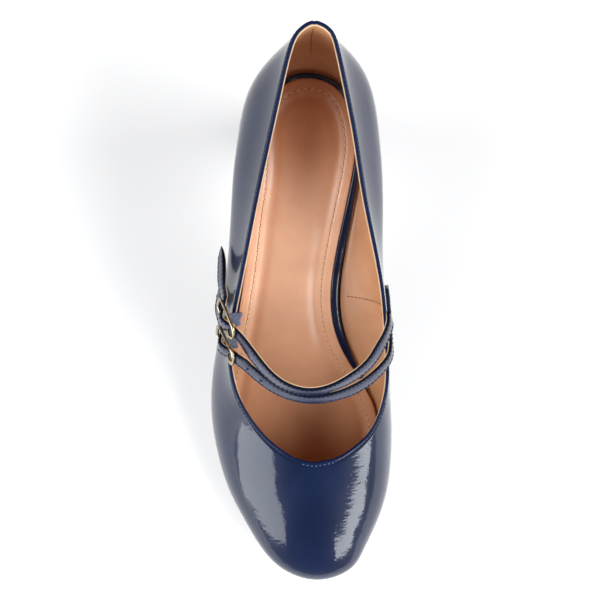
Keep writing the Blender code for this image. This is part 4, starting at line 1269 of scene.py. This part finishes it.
def make_strap(which, root, route, buckle, tip):
    """One strap: folded patent outside, cream lining inside, stitched along its edges, with its holes."""
    centre, across, out, left = ribbon_frame(strap_rows(root, route, buckle, tip), STRAP_STEPS)
    if out[STRAP_STEPS // 2, 1] > 0:
        out = -out
    narrow = band_narrowing(left, STRAP_WIDTH)
    face = STRAP_THICKNESS / 2
    split = face - FOLDED_PATENT
    groove = STRAP_GROOVE
    patent_profile = both_sides(
        [
            (-0.97, split),
            (-1.0, split + 0.0002),
            (-1.0, face - 0.00045),
            (-0.985, face - 0.00018),
            (-0.94, face - 0.00004),
            (-0.86, face),
            (-0.74, face - groove),
            (-0.66, face - groove),
            (-0.55, face),
            (-0.2, face + STRAP_RELIEF),
        ]
    )
    lining_profile = both_sides(
        [(-0.96, split - 0.00002), (-0.975, split - 0.0001), (-0.97, 0.00008 - face), (-0.95, -face)]
    )
    paint = matt_material(*EDGE_PAINT)
    lines = (centre, across, out, narrow)
    strap = make_band("Strap " + which, *lines, patent_profile, [strap_patent(), paint], "patent_leather")
    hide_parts("strap_" + which)
    linings = (
        ("root", slice(0, ROOT_STEPS + 1), paint, "patent_leather"),
        ("lining", slice(ROOT_STEPS, None), cut_edge(), "insole_sock"),
    )
    for word, part, material, slot in linings:
        under = (line[part] for line in lines)
        make_band(f"Strap {word} {which}", *under, lining_profile, [material], slot)
    thread = ("Navy thread", the_colours().navy_thread)
    inset = 1 - STRAP_STITCH.edge / (STRAP_WIDTH / 2)
    for word, sign in (("upper", -1), ("lower", 1)):
        path = centre + across * (sign * inset * STRAP_WIDTH / 2) * narrow[:, None] + out * face
        name = f"Strap stitches {which} {word}"
        path, ups = path[STITCHED_STEPS], out[STITCHED_STEPS]
        make_stitches(name, path, ups, STRAP_STITCH, thread, 0.1)
    if which == "front":
        make_punched_holes(centre, across, out, face + PUNCHED_CLEAR)


def make_punched_holes(centre, across, out, face):
    """The adjusting holes in the front strap, next to the buckle: patent rims round dark floors of painted
    shade.
    """
    points, fans, quads = [], [], []
    for at in PUNCHED_PLACES:
        k = int(np.argmin(np.abs(centre[:, 0] - at)))
        tangent = unit(centre[k + 1] - centre[k])
        first = len(points)
        points.append(centre[k] + out[k] * (face - 0.00002))
        for size, rise in PUNCHED_RINGS:
            for turn in np.arange(PUNCHED_SIDES) * 2 * math.pi / PUNCHED_SIDES:
                offset = tangent * math.cos(turn) + across[k] * math.sin(turn)
                points.append(centre[k] + offset * size + out[k] * (face + rise))
        for m in range(PUNCHED_SIDES):
            n = (m + 1) % PUNCHED_SIDES
            fans.append((first, first + 1 + m, first + 1 + n))
            for ring in (0, PUNCHED_SIDES):
                a, b = first + 1 + ring + m, first + 1 + ring + n
                quads.append((a, a + PUNCHED_SIDES, b + PUNCHED_SIDES, b))
    make_piece("Strap hole rims", points, quads, [upper_patent()])
    # The hole floors are painted shade: dark discs where the shade inside each hole would be
    make_piece("Strap hole floors", points, fans, [matt_material(*NEEDLE_HOLE_SHADE)])


def make_wire(name, centre, radii, sides, closed=False):
    """A round gold wire along points."""
    centre = np.asarray(centre)
    if closed:
        tangent = unit(np.roll(centre, -1, 0) - np.roll(centre, 1, 0))
    else:
        tangent = unit(np.gradient(centre, axis=0))
    flat = np.cross(centre[len(centre) // 3] - centre[0], centre[2 * len(centre) // 3] - centre[0])
    if np.linalg.norm(flat) < 1e-9:
        flat = np.cross(tangent[0], OFF_AXIS)
    side = unit(np.cross(tangent, unit(flat)))
    up = np.cross(side, tangent)
    turns = np.arange(sides) * 2 * math.pi / sides
    radii = np.broadcast_to(radii, len(centre))[:, None]
    columns = [centre + (side * math.cos(t) + up * math.sin(t)) * radii for t in turns]
    points = np.stack(columns, axis=1)
    faces = grid_faces(len(centre), sides, round_columns=closed, round_rows=True)
    return make_piece(name, points, faces, [metal_material("Pale gold")])


def make_buckle(which, buckle):
    """The gold wire frame with its middle bar, and the prong with its eye round the bar."""
    frame_wire, bar_wire, prong_wire = (r * the_sizes().wire for r in (WIRE_RADIUS, BAR_RADIUS, PRONG_RADIUS))
    corner = FRAME_HALF * BUCKLE_CORNER
    along_half, down_half = BAR_OFFSET - corner, FRAME_HALF - corner
    corners = (
        (along_half, down_half, 0.0),
        (-along_half, down_half, 0.5),
        (-along_half, -down_half, 1.0),
        (along_half, -down_half, 1.5),
    )
    centre = []
    for along, down, start in corners:
        for turn in np.linspace(start, start + 0.5, 14) * math.pi:
            centre.append(buckle.at(along + corner * math.cos(turn), down + corner * math.sin(turn), 0))
    wire_frame = make_wire("Buckle frame " + which, centre, frame_wire, 24, closed=True)
    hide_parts("buckle_" + which)
    ends = [buckle.at(0, FRAME_HALF * part, 0) for part in np.linspace(-1, 1, 12)]
    make_wire("Buckle bar " + which, ends, bar_wire, 20)
    eye = bar_wire + prong_wire
    rest = frame_wire + prong_wire + GAP * 0.3
    line = [buckle.at(0.0, 0, -eye * 0.9), buckle.at(-eye * 0.95, 0, 0), buckle.at(0.0, 0, eye * 0.9)]
    for along, out in ((0.3, 0.2), (0.55, 0.55), (0.85, 0.95)):
        line.append(buckle.at(along * BAR_OFFSET, 0, out * rest))
    line.append(buckle.at(BAR_OFFSET + frame_wire, 0, rest * 0.94))
    knots = path_knots(line)
    points = open_spline(knots, line)(np.linspace(0, knots[-1], PRONG_STEPS))
    radii = np.full(PRONG_STEPS, prong_wire)
    radii[: len(PRONG_START)] = prong_wire * np.array(PRONG_START)
    radii[-len(PRONG_POINT) :] = prong_wire * np.array(PRONG_POINT)
    prong = make_wire("Prong " + which, points, radii, 16)
    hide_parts("prong_" + which)


def make_elastic(which, rib, buckle):
    """The woven elastic tab from inside the topline to the buckle's middle bar."""
    rib = RIBS - rib
    half = ELASTIC_THICKNESS / 2
    clear = ELASTIC_PLAY + half
    along = unit(wall_point(rib + 0.1, 1.0) - wall_point(rib - 0.1, 1.0))
    rows = []
    for below in (ELASTIC_INSIDE, ELASTIC_INSIDE * 0.5, 0.0015):
        point, normal, rising = wall_frame(rib, height_below_topline(rib, below))
        rows.append((point - normal * (UPPER_WALL + clear), along))
    point, normal, rising = wall_frame(rib, 1.0)
    for out, up in ((-UPPER_WALL - 1.35 * clear, 0.0004), (-0.6 * UPPER_WALL, 2 * clear)):
        rows.append((point + normal * out + rising * up, along))
    across = unit(along - buckle.out * np.dot(buckle.out, along))
    rows.append((buckle.at(0, 0, -(BAR_RADIUS + GAP)), across))
    centre, wide, normal, _ = ribbon_frame(rows, ELASTIC_STEPS)
    ripple = ELASTIC_RIPPLE * np.sin(np.arange(ELASTIC_STEPS) * ELASTIC_RIB_TURN)[:, None]
    lanes = np.linspace(-1, 1, 25)
    columns = []
    for face, order in ((1, lanes), (-1, lanes[::-1])):
        for lane in order:
            edge = math.sqrt(max(0.0, 1 - max(0.0, (abs(lane) - ELASTIC_FLAT) / (1 - ELASTIC_FLAT)) ** 2))
            thick = half * edge + ripple
            columns.append(centre + wide * ELASTIC_WIDTH / 2 * lane + normal * face * thick)
    points = np.stack(columns, axis=1)
    faces = grid_faces(len(centre), len(columns), round_rows=True)
    web = make_piece("Elastic " + which, points, faces, [elastic_material("Navy elastic")])
    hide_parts("elastic_" + which)


def make_outsole():
    """The outsole from the heel's breast to the toe, with a rounded edge."""
    outline = offset_outline(-SOLE_EDGE)
    under_outline = offset_outline(0.0)
    start = seat_back() + HEEL_SEAT_LENGTH + GAP
    end = outline[0].max() - SOLE_MARGIN
    stations = start + (end - start) * np.sin(math.pi / 2 * np.linspace(0, 1, 130))
    top_inner, top_outer = sides_at(outline, stations)
    under_inner, under_outer = sides_at(under_outline, np.minimum(stations, under_outline[0].max()))
    top = bottom_height(stations) - GAP
    under = np.maximum(top - SOLE_THICKNESS, 0.0)

    def row(down, lane):
        """Points at a share of the way down the edge and a lane from -1 to 1 across."""
        inner = top_inner * (1 - down**2) + under_inner * down**2
        outer = top_outer * (1 - down**2) + under_outer * down**2
        return place((inner + outer) / 2 + (inner - outer) / 2 * lane, stations, top + (under - top) * down)

    lanes = np.linspace(-1, 1, 25)
    edge = (0.2, 0.5, 0.8)
    columns = [row(0.0, lane) for lane in lanes] + [row(down, 1.0) for down in edge]
    columns += [row(1.0, lane) for lane in lanes[::-1]] + [row(down, -1.0) for down in edge[::-1]]
    points = np.stack(columns, axis=1)
    faces = grid_faces(len(stations), len(columns), round_rows=True)
    leather = matt_material("Dark sole leather", the_colours().sole, 0.5)
    sole = make_piece("Outsole", points, faces, [leather])
    close_ends(sole, len(stations), len(columns))
    sole.data.set_sharp_from_angle(angle=math.radians(SHARP_EDGE))
    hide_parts("outsole")


def make_heel():
    """The heel, covered in the same patent leather, and its rubber top lift."""
    heights = [row.height for row in HEEL_SECTIONS]
    grown = open_spline(heights, [row.grown for row in HEEL_SECTIONS])
    hollow = open_spline(heights, [row.hollow for row in HEEL_SECTIONS])
    base = LIFT_THICKNESS + GAP
    rings = []
    for part in np.linspace(0, 1, 60):
        outline = heel_outline(float(grown(part)), float(hollow(part)))
        full = np.array(outline + [(-x, s) for x, s in reversed(outline[1:-1])])
        side, station = closed_spline(full)(np.linspace(0, len(full), HEEL_SIDES, endpoint=False)).T
        seat = bottom_height(station) - GAP
        rings.append(place(side, station, base + (seat - base) * part))
    faces = grid_faces(len(rings), HEEL_SIDES, round_rows=True)
    heel = make_piece("Covered heel", np.stack(rings), faces, [upper_patent()])
    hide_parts("heel")
    lift_rings = []
    for size, height in LIFT_PROFILE:
        ring = rings[0] * (size, size, 1.0)
        ring[:, 2] = height
        lift_rings.append(ring)
    faces = grid_faces(len(lift_rings), HEEL_SIDES, round_rows=True)
    rubber = matt_material("Black rubber", the_colours().lift, 0.65)
    lift = make_piece("Top lift", np.stack(lift_rings), faces, [rubber])
    lift.data.set_sharp_from_angle(angle=math.radians(SHARP_LIFT_EDGE))
    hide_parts("top_lift")


def world_matrix(side, up, away, place_at):
    """A matrix from three directions and a place; a light or camera there looks against away."""
    matrix = np.eye(4)
    for column, vector in enumerate((side, up, away, place_at)):
        matrix[:3, column] = vector
    return Matrix(matrix.tolist())


def add_softbox(box):
    """A rectangular softbox that faces the vamp, rolled about its own axis."""
    light = bpy.data.lights.new(box.name, "AREA")
    light.shape = "RECTANGLE"
    light.size = box.width
    light.size_y = box.height
    light.color = box.tint
    light.energy = box.radiance * math.pi * box.width * box.height
    thing = bpy.data.objects.new(box.name, light)
    bpy.context.scene.collection.objects.link(thing)
    turn, rise, roll = (math.radians(angle) for angle in (box.turn, box.rise, box.roll))
    away = np.array((math.cos(turn) * math.cos(rise), math.sin(turn) * math.cos(rise), math.sin(rise)))
    side = unit(np.cross(UP, away))
    up = np.cross(away, side)
    rolled_side = side * math.cos(roll) + up * math.sin(roll)
    rolled_up = up * math.cos(roll) - side * math.sin(roll)
    thing.matrix_world = world_matrix(rolled_side, rolled_up, away, np.array(LIGHT_AIM) + away * box.away)


def add_floor(glow):
    """A plain pale floor."""
    settings = {"Roughness": 0.9, "Specular IOR Level": 0.0}
    glowing = {"Emission Color": (1.0, 1.0, 1.0, 1.0), "Emission Strength": glow}
    material, tree, shader = new_material("Studio floor", {**settings, **glowing})
    tint = ramp(tree, noise(tree, texture_place(tree), scale=3.0), FLOOR_TONES)
    tree.links.new(tint, shader.inputs["Base Color"])
    mesh = bpy.data.meshes.new("Floor")
    corners = [(x * FLOOR_HALF, y * FLOOR_HALF, 0) for x, y in ((-1, -1), (1, -1), (1, 1), (-1, 1))]
    mesh.from_pydata(corners, [], [(0, 1, 2, 3)])
    mesh.materials.append(material)
    floor = bpy.data.objects.new("Floor", mesh)
    floor.location.z = FLOOR_HEIGHT
    bpy.context.scene.collection.objects.link(floor)


def add_surroundings(strength):
    """Pale surroundings, darker overhead."""
    world = bpy.data.worlds.new("Studio")
    bpy.context.scene.world = world
    world.use_nodes = True
    tree = world.node_tree
    sky = tree.nodes["Background"]
    sky.inputs["Strength"].default_value = strength
    spot = add_node(tree, "TexCoord", {}).outputs["Generated"]
    height = add_node(tree, "SeparateXYZ", {}, Vector=spot).outputs["Z"]
    tree.links.new(ramp(tree, height, SKY_TONES), sky.inputs["Color"])


def add_camera(lens):
    """The camera, above the shoe, with the toe at the bottom of the picture."""
    camera_data = bpy.data.cameras.new("Camera")
    camera_data.lens = lens
    camera_data.sensor_width = 36.0
    camera = bpy.data.objects.new("Camera", camera_data)
    bpy.context.scene.collection.objects.link(camera)
    where = np.array(CAMERA_PLACE)
    away = unit(where - np.array(CAMERA_AIM))
    side = unit(np.cross((0.0, 1.0, 0.0), away))
    camera.matrix_world = world_matrix(side, np.cross(away, side), away, where)
    bpy.context.scene.camera = camera


class PUMP_OT_upper(bpy.types.Operator):
    """Builds the patent upper with its lining and stitches"""

    bl_idname = "pump.upper"
    bl_label = "Upper"

    def execute(self, context):
        make_patent_shell()
        make_lining()
        make_topline_stitches()
        make_lining_seams()
        return {"FINISHED"}


class PUMP_OT_insole(bpy.types.Operator):
    """Builds the sock with its stitches and the patent rim"""

    bl_idname = "pump.insole"
    bl_label = "Insole"

    def execute(self, context):
        make_sock()
        make_rim()
        return {"FINISHED"}


class PUMP_OT_bottom(bpy.types.Operator):
    """Builds the outsole, the covered heel and the top lift"""

    bl_idname = "pump.bottom"
    bl_label = "Sole and heel"

    def execute(self, context):
        make_outsole()
        make_heel()
        return {"FINISHED"}


class PUMP_OT_straps(bpy.types.Operator):
    """Builds the straps with their buckles, prongs and elastic tabs"""

    bl_idname = "pump.straps"
    bl_label = "Straps and buckles"

    def execute(self, context):
        for which, root, route, bars, tip, elastic_at in STRAP_SETS:
            buckle = BuckleFrame(bars)
            make_strap(which, root, route, buckle, tip)
            make_buckle(which, buckle)
            make_elastic(which, elastic_at, buckle)
        return {"FINISHED"}


class PUMP_OT_stage(bpy.types.Operator):
    """Lays the floor and sets the lights, the surroundings and the camera"""

    bl_idname = "pump.stage"
    bl_label = "Stage"

    def execute(self, context):
        stage = context.scene.pump_stage
        add_floor(stage.glow)
        add_surroundings(stage.sky)
        for box in SOFTBOXES:
            add_softbox(box)
        add_camera(stage.lens)
        context.scene.view_settings.view_transform = "Standard"
        return {"FINISHED"}


class PUMP_PT_panel(bpy.types.Panel):
    """The pump's sizes, colours and building steps"""

    bl_idname = "PUMP_PT_panel"
    bl_label = "Mary jane pump"
    bl_space_type = "VIEW_3D"
    bl_region_type = "UI"
    bl_category = "Pump"

    def draw(self, context):
        scene = context.scene
        for group in (scene.pump_sizes, scene.pump_colours, scene.pump_stage):
            for name in type(group).__annotations__:
                self.layout.prop(group, name)
        for step in STEPS:
            self.layout.operator(step)


STEPS = ("pump.upper", "pump.insole", "pump.bottom", "pump.straps", "pump.stage")
GROUPS = (PumpSizes, PumpColours, PumpStage)
OPERATORS = (PUMP_OT_upper, PUMP_OT_insole, PUMP_OT_bottom, PUMP_OT_straps, PUMP_OT_stage)
CLASSES = (*GROUPS, *OPERATORS, PUMP_PT_panel)


def register():
    for item in CLASSES:
        bpy.utils.register_class(item)
    bpy.types.Scene.pump_sizes = bpy.props.PointerProperty(type=PumpSizes)
    bpy.types.Scene.pump_colours = bpy.props.PointerProperty(type=PumpColours)
    bpy.types.Scene.pump_stage = bpy.props.PointerProperty(type=PumpStage)


def unregister():
    del bpy.types.Scene.pump_stage
    del bpy.types.Scene.pump_colours
    del bpy.types.Scene.pump_sizes
    for item in reversed(CLASSES):
        bpy.utils.unregister_class(item)


def main():
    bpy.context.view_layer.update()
    register()
    bpy.ops.pump.upper()
    bpy.ops.pump.insole()
    bpy.ops.pump.bottom()
    bpy.ops.pump.straps()
    bpy.ops.pump.stage()


if __name__ == "__main__":
    main()
